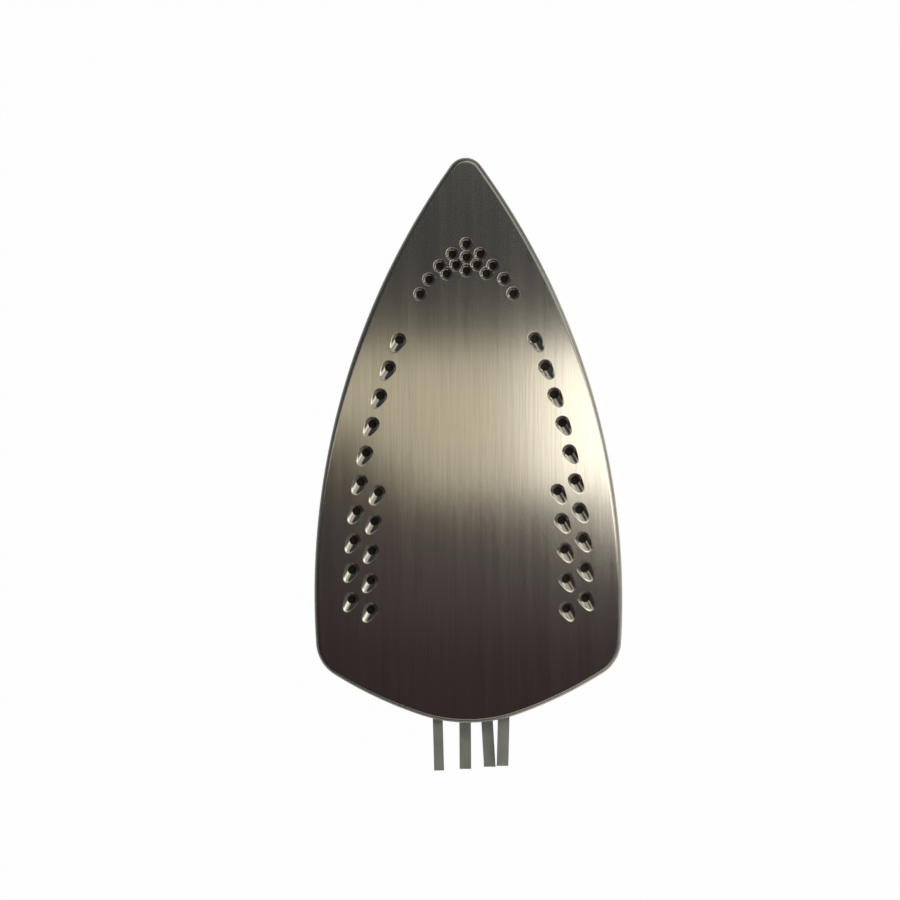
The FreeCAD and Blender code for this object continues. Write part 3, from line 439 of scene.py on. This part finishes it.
def skin_surface(sizes):
    """Closed surface of the skin: rim, dimples, and last the flat sheet between them on both faces.

    The last array gives each point's share of the way round the bend: 0 on the sole, 1 from the upright
    wall on.
    """
    rim = rim_grid(sizes, sizes.lip)
    dimples = dimple_grid(sizes)
    levels, columns = rim.shape[:2]
    number, depth, around = dimples.shape[:3]
    points = np.concatenate((rim.reshape(-1, 3), dimples.reshape(-1, 3)))
    bend = np.zeros(len(points))
    share = np.clip((np.arange(levels) - 1) / (BEND_STEPS - 1), 0, 1)
    bend[: levels * columns] = np.repeat(share, columns)
    starts = levels * columns + depth * around * np.arange(number)
    quads = [ring_quads(levels, columns)]
    quads += [ring_quads(depth, around, start)[:, ::-1] for start in starts]
    ring = np.arange(around)
    front_loops = [np.arange(columns)] + [start + ring for start in starts]
    last = (depth - 1) * around
    back_loops = [(levels - 1) * columns + np.arange(columns)] + [start + last + ring for start in starts]
    front = flat_fill(points, front_loops)
    back = flat_fill(points, back_loops)[:, ::-1]
    return points, np.concatenate(quads).tolist(), front.tolist() + back.tolist(), bend


def stud_surface(sizes):
    """Threaded stud: its radius is a ridge that winds once a pitch, cut by the lead at the free end."""
    turn = np.linspace(0, 2 * math.pi, STUD_RAYS, endpoint=False)
    rows = int(PITCH_LEVELS * (BOSS_FACE - STUD_LOW.z) / sizes.pitch)
    height = np.linspace(STUD_LOW.z, BOSS_FACE - sizes.pitch / PITCH_LEVELS, rows)
    phase = (height[:, None] / sizes.pitch - turn / (2 * math.pi)) % 1
    ridge = np.clip(RIDGE_RISE * (np.abs(2 * phase - 1) - 0.5) + 0.5, 0, 1)
    outer, root = sizes.diameter / 2, sizes.root_diameter / 2
    radius = root + (outer - root) * ridge
    lead = outer - sizes.lead + height - STUD_LOW.z
    radius = np.minimum(radius, lead[:, None])
    shank = np.full((2, len(turn)), root)
    radius = np.concatenate((radius, shank))
    height = np.concatenate((height, [BOSS_FACE, STUD_HIGH.z]))
    centre = (STUD_LOW + STUD_HIGH) / 2
    x = centre.x + radius * np.cos(turn)
    y = centre.y + radius * np.sin(turn)
    z = np.broadcast_to(height[:, None], radius.shape)
    points = np.stack((x, y, z), axis=-1).reshape(-1, 3)
    quads = ring_quads(len(height), len(turn))[:, ::-1]
    ring = np.arange(len(turn))
    ends = [ring[::-1].tolist(), (len(points) - len(turn) + ring).tolist()]
    return points, quads.tolist(), ends


def new_piece(name, points, smooth, flat, node, sharp_degrees):
    """Mesh object at the origin that stands for a solid, of smooth faces and flat ones."""
    mesh = bpy.data.meshes.new(name)
    mesh.from_pydata(points.tolist(), [], smooth + flat)
    mesh.polygons.foreach_set("use_smooth", np.arange(len(mesh.polygons)) < len(smooth))
    mesh.set_sharp_from_angle(angle=math.radians(sharp_degrees))
    piece = bpy.data.objects.new(name, mesh)
    bpy.context.scene.collection.objects.link(piece)
    if mesh.validate():
        raise RuntimeError(f"{name} has faces that can't be drawn")
    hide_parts(node)
    return piece


# Finishes


# Range that nearly all values of a grain lie in
GRAIN_LOW, GRAIN_HIGH = 0.3, 0.7


def add(tree, kind, sockets=None, **settings):
    """Node with its settings; a socket is given another node's output or a constant."""
    made = tree.nodes.new(kind)
    for name, value in settings.items():
        setattr(made, name, value)
    for name, value in (sockets or {}).items():
        if isinstance(value, bpy.types.NodeSocket):
            tree.links.new(value, made.inputs[name])
        else:
            made.inputs[name].default_value = value
    return made


def socket_of(shader, words):
    """Socket of a shader, named in words joined by underscores."""
    return shader.inputs[words.replace("_", " ").title()]


def start_finish(name, **constants):
    """Material with one shader, and the constants on its sockets."""
    material = bpy.data.materials.new(name)
    material.use_nodes = True
    tree = material.node_tree
    shader = tree.nodes["Principled BSDF"]
    for words, value in constants.items():
        socket_of(shader, words).default_value = value
    return material, tree, shader


def own_place(tree):
    """Object coordinates."""
    return add(tree, "ShaderNodeTexCoord").outputs["Object"]


def grain(tree, size, detail, distortion=0.0):
    """Noise on Object coordinates with cells of a size in metres along X, Y and Z."""
    scale = [1 / cell for cell in size]
    place = add(tree, "ShaderNodeMapping", {"Vector": own_place(tree), "Scale": scale}).outputs["Vector"]
    sockets = {"Vector": place, "Scale": 1.0, "Detail": detail, "Distortion": distortion}
    return add(tree, "ShaderNodeTexNoise", sockets).outputs["Fac"]


def ranged(tree, value, start, end, low=GRAIN_LOW, high=GRAIN_HIGH):
    """Number that goes smoothly from start to end, as a value goes from low to high."""
    sockets = {"Value": value, "From Min": low, "From Max": high, "To Min": start, "To Max": end}
    return add(tree, "ShaderNodeMapRange", sockets, interpolation_type="SMOOTHSTEP").outputs["Result"]


def tinted(tree, value, dark, light, low=GRAIN_LOW, high=GRAIN_HIGH):
    """Colour that goes from a dark tone to a light one, as a value goes from low to high."""
    ramp = add(tree, "ShaderNodeValToRGB", {"Fac": value})
    first, last = ramp.color_ramp.elements
    first.position, last.position = low, high
    first.color, last.color = (*dark, 1), (*light, 1)
    return ramp.outputs["Color"]


def mixed(tree, share, first, second):
    """Colour between two colours, by the share of the second."""
    sockets = {"Fac": share, "Color1": first, "Color2": second}
    return add(tree, "ShaderNodeMixRGB", sockets).outputs["Color"]


def reckoned(tree, operation, *values):
    """Result of one step of arithmetic on two or three values."""
    return add(tree, "ShaderNodeMath", dict(enumerate(values)), operation=operation).outputs[0]


def scaled(tone, factor):
    """Tone made darker or lighter."""
    return [channel * factor for channel in tone]


def relief(tree, height, depth):
    """Bump of a depth in metres from a height between 0 and 1."""
    sockets = {"Height": height, "Distance": depth, "Strength": 1.0}
    return add(tree, "ShaderNodeBump", sockets).outputs["Normal"]


def connect(tree, shader, **outputs):
    """Link other nodes' outputs to the shader's sockets."""
    for words, output in outputs.items():
        tree.links.new(output, socket_of(shader, words))


def brushed_steel(tone, edge):
    """Sole: fine lengthwise brush lines; its bend is rougher, and carries painted shade, darker on the left
    and at the tip.
    """
    material, tree, shader = start_finish("brushed_sole", metallic=1.0, anisotropic=0.3)
    fine = grain(tree, (0.0005, 0.025, 0.01), detail=3.0)
    broad = grain(tree, (0.004, 0.12, 0.02), detail=2.0)
    brushed = tinted(tree, fine, scaled(tone, 0.93), scaled(tone, 1.05))
    bend = add(tree, "ShaderNodeAttribute", attribute_name="bend").outputs["Fac"]
    split = add(tree, "ShaderNodeSeparateXYZ", {"Vector": own_place(tree)})
    # Painted shade: the bend turns to the edge tone on the left and at the tip, but not on the upright wall
    on_left = ranged(tree, split.outputs["X"], 1.0, 0.0, low=0.0, high=0.03)
    at_tip = ranged(tree, split.outputs["Y"], 0.0, 1.0, low=0.05, high=0.085)
    off_wall = ranged(tree, bend, 1.0, 0.0, low=0.75, high=1.0)
    on_bend = ranged(tree, bend, 0.0, 1.0, low=0.1, high=0.45)
    painted_shade_place = reckoned(tree, "MINIMUM", reckoned(tree, "MAXIMUM", on_left, at_tip), off_wall)
    dark = reckoned(tree, "MULTIPLY", on_bend, painted_shade_place)
    smooth = ranged(tree, broad, 0.16, 0.18)
    bend_roughness = 0.4
    connect(
        tree,
        shader,
        base_color=mixed(tree, dark, brushed, (*edge, 1)),
        roughness=reckoned(tree, "MULTIPLY_ADD", on_bend, bend_roughness, smooth),
        normal=relief(tree, fine, depth=0.000005),
        tangent=add(tree, "ShaderNodeCombineXYZ", {"X": 1.0, "Y": 0.0, "Z": 0.02}).outputs["Vector"],
    )
    return material


def cast_aluminium(tone):
    """Casting: fine sand-like skin with cloudy oxide, and painted shade, near black, below the galleries'
    floor.
    """
    material, tree, shader = start_finish("cast_body", metallic=1.0)
    cloud = grain(tree, (0.03,) * 3, detail=3.0)
    skin = grain(tree, (0.0012,) * 3, detail=5.0)
    clean = tinted(tree, skin, scaled(tone, 0.84), tone)
    height = add(tree, "ShaderNodeSeparateXYZ", {"Vector": own_place(tree)}).outputs["Z"]
    # Painted shade: near black below the galleries' floor, so that the steam holes look dark
    fade = 0.0004
    painted_shade_share = ranged(tree, height, 0.0, 1.0, low=GALLERY_FLOOR - 2 * fade, high=GALLERY_FLOOR - fade)
    painted_hole_shade = (0.05, 0.045, 0.036, 1)
    connect(
        tree,
        shader,
        base_color=mixed(tree, painted_shade_share, clean, painted_hole_shade),
        roughness=ranged(tree, cloud, 0.62, 0.46),
        normal=relief(tree, skin, depth=0.0002),
    )
    return material


def stained_sheath(tone):
    """Heater tube: steel stained brown and grey by heat."""
    material, tree, shader = start_finish("heater_sheath", metallic=1.0)
    stain = grain(tree, (0.008,) * 3, detail=6.0, distortion=0.6)
    fine = grain(tree, (0.0006,) * 3, detail=2.0)
    warm = (tone[0] * 0.7, tone[1] * 0.55, tone[2] * 0.42)
    connect(
        tree,
        shader,
        base_color=tinted(tree, stain, warm, scaled(tone, 1.1), low=0.35, high=0.65),
        roughness=ranged(tree, stain, 0.6, 0.42),
        normal=relief(tree, fine, depth=0.00003),
    )
    return material


def unglazed_ceramic(tone):
    """Insulators: matt fired ceramic with fine specks."""
    material, tree, shader = start_finish("ceramic", metallic=0.0)
    speck = grain(tree, (0.0009,) * 3, detail=5.0)
    cloud = grain(tree, (0.006,) * 3, detail=3.0)
    connect(
        tree,
        shader,
        base_color=tinted(tree, speck, scaled(tone, 0.8), tone, low=0.28, high=0.5),
        roughness=ranged(tree, cloud, 0.7, 0.5),
        normal=relief(tree, speck, depth=0.00003),
    )
    return material


def dull_nickel(tone):
    """Tabs: dull plate over sheet, with faint rolling lines along the strip."""
    material, tree, shader = start_finish("tab_steel", metallic=0.2)
    rolled = grain(tree, (0.0005, 0.02, 0.0005), detail=4.0)
    cloud = grain(tree, (0.005, 0.008, 0.005), detail=4.0)
    connect(
        tree,
        shader,
        base_color=tinted(tree, cloud, scaled(tone, 0.85), scaled(tone, 1.08)),
        roughness=ranged(tree, rolled, 0.46, 0.58),
        normal=relief(tree, rolled, depth=0.00002),
    )
    return material


def zinc_plate(tone):
    """Screws, stud, rivet and spindle: bright zinc with a faint blue-grey cloud."""
    material, tree, shader = start_finish("zinc_steel", metallic=1.0)
    cloud = grain(tree, (0.003,) * 3, detail=4.0, distortion=0.4)
    fine = grain(tree, (0.0004,) * 3, detail=2.0)
    cool = (tone[0] * 0.8, tone[1] * 0.84, tone[2] * 0.9)
    connect(
        tree,
        shader,
        base_color=tinted(tree, cloud, cool, tone),
        roughness=ranged(tree, cloud, 0.36, 0.26),
        normal=relief(tree, fine, depth=0.00001),
    )
    return material


def rolled_sheet(tone):
    """Cover, base and bridge: cold rolled sheet with lengthwise mill lines."""
    material, tree, shader = start_finish("stamped_steel", metallic=1.0)
    mill = grain(tree, (0.0004, 0.03, 0.0004), detail=3.0)
    cloud = grain(tree, (0.015, 0.02, 0.015), detail=4.0)
    connect(
        tree,
        shader,
        base_color=tinted(tree, cloud, scaled(tone, 0.82), scaled(tone, 1.05)),
        roughness=ranged(tree, mill, 0.34, 0.44),
        normal=relief(tree, mill, depth=0.00001),
    )
    return material


def moulded_silicone(tone):
    """Gasket and seal: soft matt silicone with a dusty bloom."""
    material, tree, shader = start_finish("silicone", metallic=0.0)
    bloom = grain(tree, (0.004,) * 3, detail=5.0)
    fine = grain(tree, (0.0005,) * 3, detail=2.0)
    pale = [0.85 * channel + 0.04 for channel in tone]
    connect(
        tree,
        shader,
        base_color=tinted(tree, bloom, tone, pale, low=0.35),
        roughness=ranged(tree, bloom, 0.48, 0.62),
        normal=relief(tree, fine, depth=0.00002),
    )
    return material


def spring_bronze(tone):
    """Blades and bimetal: rolled strip with faint heat tint."""
    material, tree, shader = start_finish("spring_bronze", metallic=1.0)
    tint = grain(tree, (0.009, 0.012, 0.009), detail=3.0)
    rolled = grain(tree, (0.0004, 0.02, 0.0004), detail=3.0)
    connect(
        tree,
        shader,
        base_color=tinted(tree, tint, scaled(tone, 0.78), tone),
        roughness=ranged(tree, rolled, 0.26, 0.38),
        normal=relief(tree, rolled, depth=0.000008),
    )
    return material


def contact_silver(tone):
    """Contacts: bright silver with a grey tarnish."""
    material, tree, shader = start_finish("silver", metallic=1.0)
    tarnish = grain(tree, (0.0014,) * 3, detail=4.0)
    connect(
        tree,
        shader,
        base_color=tinted(tree, tarnish, scaled(tone, 0.7), tone, high=0.6),
        roughness=ranged(tree, tarnish, 0.34, 0.2),
        normal=relief(tree, tarnish, depth=0.00001),
    )
    return material


def turned_brass(tone):
    """Bush: brass with fine turning rings stacked along its axis."""
    material, tree, shader = start_finish("brass", metallic=1.0)
    rings = grain(tree, (0.05, 0.05, 0.00025), detail=2.0)
    cloud = grain(tree, (0.004,) * 3, detail=4.0)
    connect(
        tree,
        shader,
        base_color=tinted(tree, cloud, scaled(tone, 0.8), tone),
        roughness=ranged(tree, rings, 0.22, 0.34),
        normal=relief(tree, rings, depth=0.00001),
    )
    return material


def finish_nodes(material, *nodes):
    """Give pieces that keep their solids one finish."""
    for name in nodes:
        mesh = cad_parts[name].data
        mesh.materials.clear()
        mesh.materials.append(material)


# Stage


# Tones of the lamps, and of the room: overhead at the rear and at the front, and on the right
CREAM, PALE = (1.0, 0.925, 0.68), (1.0, 0.97, 0.88)
WARM, ROSE = (1.0, 0.95, 0.86), (1.0, 0.86, 0.82)
ROOM_REAR, ROOM_FRONT = (0.040, 0.025, 0.028), (0.047, 0.051, 0.056)
ROOM_RIGHT = (1.0, 0.99, 0.94)

# Plan lines at which the soft cards meet: across, and along from the front to the rear
SPLIT_X, RIGHT_X = 0.036, 0.15
FRONT_Y, UPPER_Y, LOWER_Y, REAR_Y, CORNER_Y = 0.0524, 0.0166, 0.0003, -0.0145, -0.034

# Soft cards that the sole mirrors: two plan corners, the setting of the radiance, and the tone
CARDS = {
    "front_card": ((-0.3, UPPER_Y), (SPLIT_X, FRONT_Y), "band_radiance", CREAM),
    "middle_card": ((-0.0443, LOWER_Y), (SPLIT_X, UPPER_Y), "band_radiance", CREAM),
    "rear_card": ((-0.0274, -0.0143), (SPLIT_X, LOWER_Y), "band_radiance", CREAM),
    "glare_card": ((SPLIT_X, REAR_Y), (RIGHT_X, FRONT_Y), "glare_radiance", PALE),
    "corner_card": ((0.072, CORNER_Y), (RIGHT_X, REAR_Y), "glare_radiance", PALE),
    "far_card": ((RIGHT_X, CORNER_Y), (0.5, 0.13), "far_radiance", PALE),
    "glow_card": ((-0.06, -0.075), (0.06, REAR_Y), "glow_radiance", ROSE),
}

# Lamps round the plate: place, target, width and height, the setting of the radiance, and the tone
LAMPS = {
    "tail_lamp": ((0.225, 0.556, 1.04), (0, 0, 0), (0.6, 0.8), "tail_radiance", PALE),
    "side_lamp": ((0.2, 0.16, 0.12), (0.274, -0.026, 0.035), (0.2, 0.1), "side_radiance", PALE),
    "rear_lamp": ((0.1, -0.45, 0.5), (0, -0.1, 0), (0.8, 0.16), "rear_radiance", WARM),
}


def floor_finish():
    """White floor that shows white to the camera and in reflections, and keeps a soft shadow."""
    material = bpy.data.materials.new("studio_floor")
    material.use_nodes = True
    tree = material.node_tree
    tree.nodes.clear()
    path = add(tree, "ShaderNodeLightPath")
    seen = path.outputs["Is Camera Ray"]
    for other in ("Is Glossy Ray", "Is Transmission Ray"):
        seen = reckoned(tree, "MAXIMUM", seen, path.outputs[other])
    shown_white = 0.985
    share = reckoned(tree, "MULTIPLY", seen, shown_white)
    paint = (0.86, 0.86, 0.85, 1)
    lit = add(tree, "ShaderNodeBsdfDiffuse", {"Color": paint}).outputs[0]
    white = add(tree, "ShaderNodeEmission", {"Color": (1, 1, 1, 1), "Strength": 1.0}).outputs[0]
    above = add(tree, "ShaderNodeMixShader", {0: share, 1: lit, 2: white}).outputs[0]
    clear = add(tree, "ShaderNodeBsdfTransparent").outputs[0]
    below = add(tree, "ShaderNodeNewGeometry").outputs["Backfacing"]
    whole = add(tree, "ShaderNodeMixShader", {0: below, 1: above, 2: clear}).outputs[0]
    add(tree, "ShaderNodeOutputMaterial", {"Surface": whole})
    return material


def build_floor(size):
    """Square floor under the posts and the stud."""
    half = size / 2
    mesh = bpy.data.meshes.new("studio_floor")
    corners = [(-half, -half, 0), (half, -half, 0), (half, half, 0), (-half, half, 0)]
    mesh.from_pydata(corners, [], [(0, 1, 2, 3)])
    mesh.materials.append(floor_finish())
    floor = bpy.data.objects.new("studio_floor", mesh)
    bpy.context.scene.collection.objects.link(floor)


def build_world(right_radiance):
    """Room: dark overhead, warmer towards the rear, and evenly lit from a little right of overhead on."""
    world = bpy.data.worlds.new("studio_room")
    world.use_nodes = True
    tree = world.node_tree
    way = add(tree, "ShaderNodeTexCoord").outputs["Generated"]
    split = add(tree, "ShaderNodeSeparateXYZ", {"Vector": way})
    along = ranged(tree, split.outputs["Y"], 0.0, 1.0, low=-0.04, high=0.05)
    overhead = tinted(tree, along, ROOM_REAR, ROOM_FRONT, low=0.0, high=1.0)
    right = ranged(tree, split.outputs["X"], 0.0, 1.0, low=0.08, high=0.4)
    tone = mixed(tree, right, overhead, (*scaled(ROOM_RIGHT, right_radiance), 1))
    background = tree.nodes["Background"]
    tree.links.new(tone, background.inputs["Color"])
    bpy.context.scene.world = world


def add_softbox(name, place, target, size, radiance, tone):
    """Rectangular lamp that faces a target; its power follows from its radiance and area."""
    width, height = size
    lamp = bpy.data.lights.new(name, "AREA")
    lamp.shape = "RECTANGLE"
    lamp.size, lamp.size_y = width, height
    lamp.energy = radiance * math.pi * width * height
    lamp.color = tone
    made = bpy.data.objects.new(name, lamp)
    made.location = place
    made.rotation_euler = (Vector(target) - Vector(place)).to_track_quat("-Z", "Y").to_euler()
    made.visible_camera = False
    bpy.context.scene.collection.objects.link(made)


def add_card(name, low, high, rise, radiance, tone):
    """Level lamp between two plan corners, at a rise above the sole."""
    middle = ((low[0] + high[0]) / 2, (low[1] + high[1]) / 2)
    size = (high[0] - low[0], high[1] - low[1])
    add_softbox(name, (*middle, SKIN_HIGH.z + rise), (*middle, 0.0), size, radiance, tone)


def build_camera(stage):
    """Camera straight above the sole, with the tip at the top of the picture."""
    lens = bpy.data.cameras.new("camera")
    lens.sensor_width = 36.0
    lens.lens = lens.sensor_width * stage.camera_rise / stage.view_width
    camera = bpy.data.objects.new("camera", lens)
    camera.location = (stage.view_x, stage.view_y, SKIN_HIGH.z + stage.camera_rise)
    camera.rotation_euler = (0.0, 0.0, stage.view_lean)
    bpy.context.scene.collection.objects.link(camera)
    bpy.context.scene.camera = camera


class SOLEPLATE_OT_press_skin(bpy.types.Operator):
    """Press the skin with its dimples, steam holes, rim and hem, and brush it"""

    bl_idname = "soleplate.press_skin"
    bl_label = "Press the Skin"

    def execute(self, context):
        colours = context.scene.soleplate_colours
        points, smooth, flat, bend = skin_surface(context.scene.soleplate_skin)
        piece = new_piece("pressed_skin", points, smooth, flat, "sole_skin", sharp_degrees=35.0)
        piece.data.attributes.new("bend", "FLOAT", "POINT").data.foreach_set("value", bend)
        piece.data.materials.append(brushed_steel(colours.sole, colours.edge))
        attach(piece, "plate")
        return {"FINISHED"}


class SOLEPLATE_OT_thread_stud(bpy.types.Operator):
    """Cut the stud's thread, and plate the stud, the screws, the rivet and the spindle"""

    bl_idname = "soleplate.thread_stud"
    bl_label = "Thread the Stud"

    def execute(self, context):
        points, smooth, flat = stud_surface(context.scene.soleplate_stud)
        piece = new_piece("threaded_stud", points, smooth, flat, "front_stud", sharp_degrees=50.0)
        zinc = zinc_plate(context.scene.soleplate_colours.zinc)
        piece.data.materials.append(zinc)
        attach(piece, "plate")
        finish_nodes(zinc, "cover_screws", "thermostat_screws", "earth_screw", "stack_rivet", "spindle")
        return {"FINISHED"}


class SOLEPLATE_OT_finish_casting(bpy.types.Operator):
    """Give the casting its as-cast skin and the heater its stain"""

    bl_idname = "soleplate.finish_casting"
    bl_label = "Finish the Casting"

    def execute(self, context):
        colours = context.scene.soleplate_colours
        finish_nodes(cast_aluminium(colours.casting), "heater_casting")
        finish_nodes(stained_sheath(colours.sheath), "heater_tube")
        return {"FINISHED"}


class SOLEPLATE_OT_finish_tabs(bpy.types.Operator):
    """Plate the connection tabs and the heater's pins"""

    bl_idname = "soleplate.finish_tabs"
    bl_label = "Plate the Tabs"

    def execute(self, context):
        nickel = dull_nickel(context.scene.soleplate_colours.tab)
        finish_nodes(nickel, "left_heater_tab", "right_heater_tab", "load_tab", "live_tab", "earth_tab")
        finish_nodes(nickel, "left_cold_pin", "right_cold_pin")
        return {"FINISHED"}


class SOLEPLATE_OT_finish_steam_chamber(bpy.types.Operator):
    """Finish the steam chamber's cover, gasket and seal, and the regulator's base and bridge"""

    bl_idname = "soleplate.finish_steam_chamber"
    bl_label = "Finish the Steam Chamber"

    def execute(self, context):
        colours = context.scene.soleplate_colours
        finish_nodes(rolled_sheet(colours.sheet), "steam_cover", "thermostat_base", "spindle_bridge")
        finish_nodes(moulded_silicone(colours.silicone), "cover_gasket", "water_inlet_seal")
        return {"FINISHED"}


class SOLEPLATE_OT_finish_regulator(bpy.types.Operator):
    """Finish the insulators of heater and regulator, and the regulator's blades, contacts and bush"""

    bl_idname = "soleplate.finish_regulator"
    bl_label = "Finish the Regulator"

    def execute(self, context):
        colours = context.scene.soleplate_colours
        ceramic = unglazed_ceramic(colours.ceramic)
        finish_nodes(ceramic, "left_end_bead", "right_end_bead", "striker_pin", "push_pin")
        finish_nodes(ceramic, "lower_insulator", "middle_insulator", "upper_insulator")
        finish_nodes(spring_bronze(colours.bronze), "bimetal_strip", "fixed_blade", "moving_blade")
        finish_nodes(contact_silver(colours.silver), "fixed_contact", "moving_contact")
        finish_nodes(turned_brass(colours.brass), "spindle_bush")
        return {"FINISHED"}


class SOLEPLATE_OT_build_stage(bpy.types.Operator):
    """Lay the floor and set the room, the lamps and the camera"""

    bl_idname = "soleplate.build_stage"
    bl_label = "Build the Stage"

    def execute(self, context):
        stage = context.scene.soleplate_stage
        build_floor(stage.floor_size)
        build_world(stage.right_radiance)
        for name, (low, high, radiance, tone) in CARDS.items():
            add_card(name, low, high, stage.card_rise, getattr(stage, radiance), tone)
        for name, (place, target, size, radiance, tone) in LAMPS.items():
            add_softbox(name, place, target, size, getattr(stage, radiance), tone)
        build_camera(stage)
        context.scene.view_settings.view_transform = "Standard"
        return {"FINISHED"}


class SOLEPLATE_PT_workshop(bpy.types.Panel):
    """Steps that dress the soleplate"""

    bl_label = "Soleplate"
    bl_space_type = "VIEW_3D"
    bl_region_type = "UI"
    bl_category = "Soleplate"

    def draw(self, context):
        for step in STEPS:
            self.layout.operator(step.bl_idname)
        for group in GROUPS:
            settings = getattr(context.scene, group)
            box = self.layout.box()
            for name in settings.__annotations__:
                box.prop(settings, name)


STEPS = (
    SOLEPLATE_OT_press_skin,
    SOLEPLATE_OT_thread_stud,
    SOLEPLATE_OT_finish_casting,
    SOLEPLATE_OT_finish_tabs,
    SOLEPLATE_OT_finish_steam_chamber,
    SOLEPLATE_OT_finish_regulator,
    SOLEPLATE_OT_build_stage,
)
GROUPS = {
    "soleplate_skin": SkinSizes,
    "soleplate_stud": StudSizes,
    "soleplate_colours": FinishColours,
    "soleplate_stage": StageSizes,
}


def register():
    """Register the classes and hang their settings on the scene."""
    for made in (*GROUPS.values(), *STEPS, SOLEPLATE_PT_workshop):
        bpy.utils.register_class(made)
    for name, group in GROUPS.items():
        setattr(bpy.types.Scene, name, PointerProperty(type=group))


def unregister():
    """Take the settings off the scene and unregister the classes."""
    for name in GROUPS:
        delattr(bpy.types.Scene, name)
    for made in reversed((*GROUPS.values(), *STEPS, SOLEPLATE_PT_workshop)):
        bpy.utils.unregister_class(made)


def main():
    """Dress the soleplate step by step."""
    register()
    bpy.ops.soleplate.press_skin()
    bpy.ops.soleplate.thread_stud()
    bpy.ops.soleplate.finish_casting()
    bpy.ops.soleplate.finish_tabs()
    bpy.ops.soleplate.finish_steam_chamber()
    bpy.ops.soleplate.finish_regulator()
    bpy.ops.soleplate.build_stage()


if __name__ == "__main__":
    main()
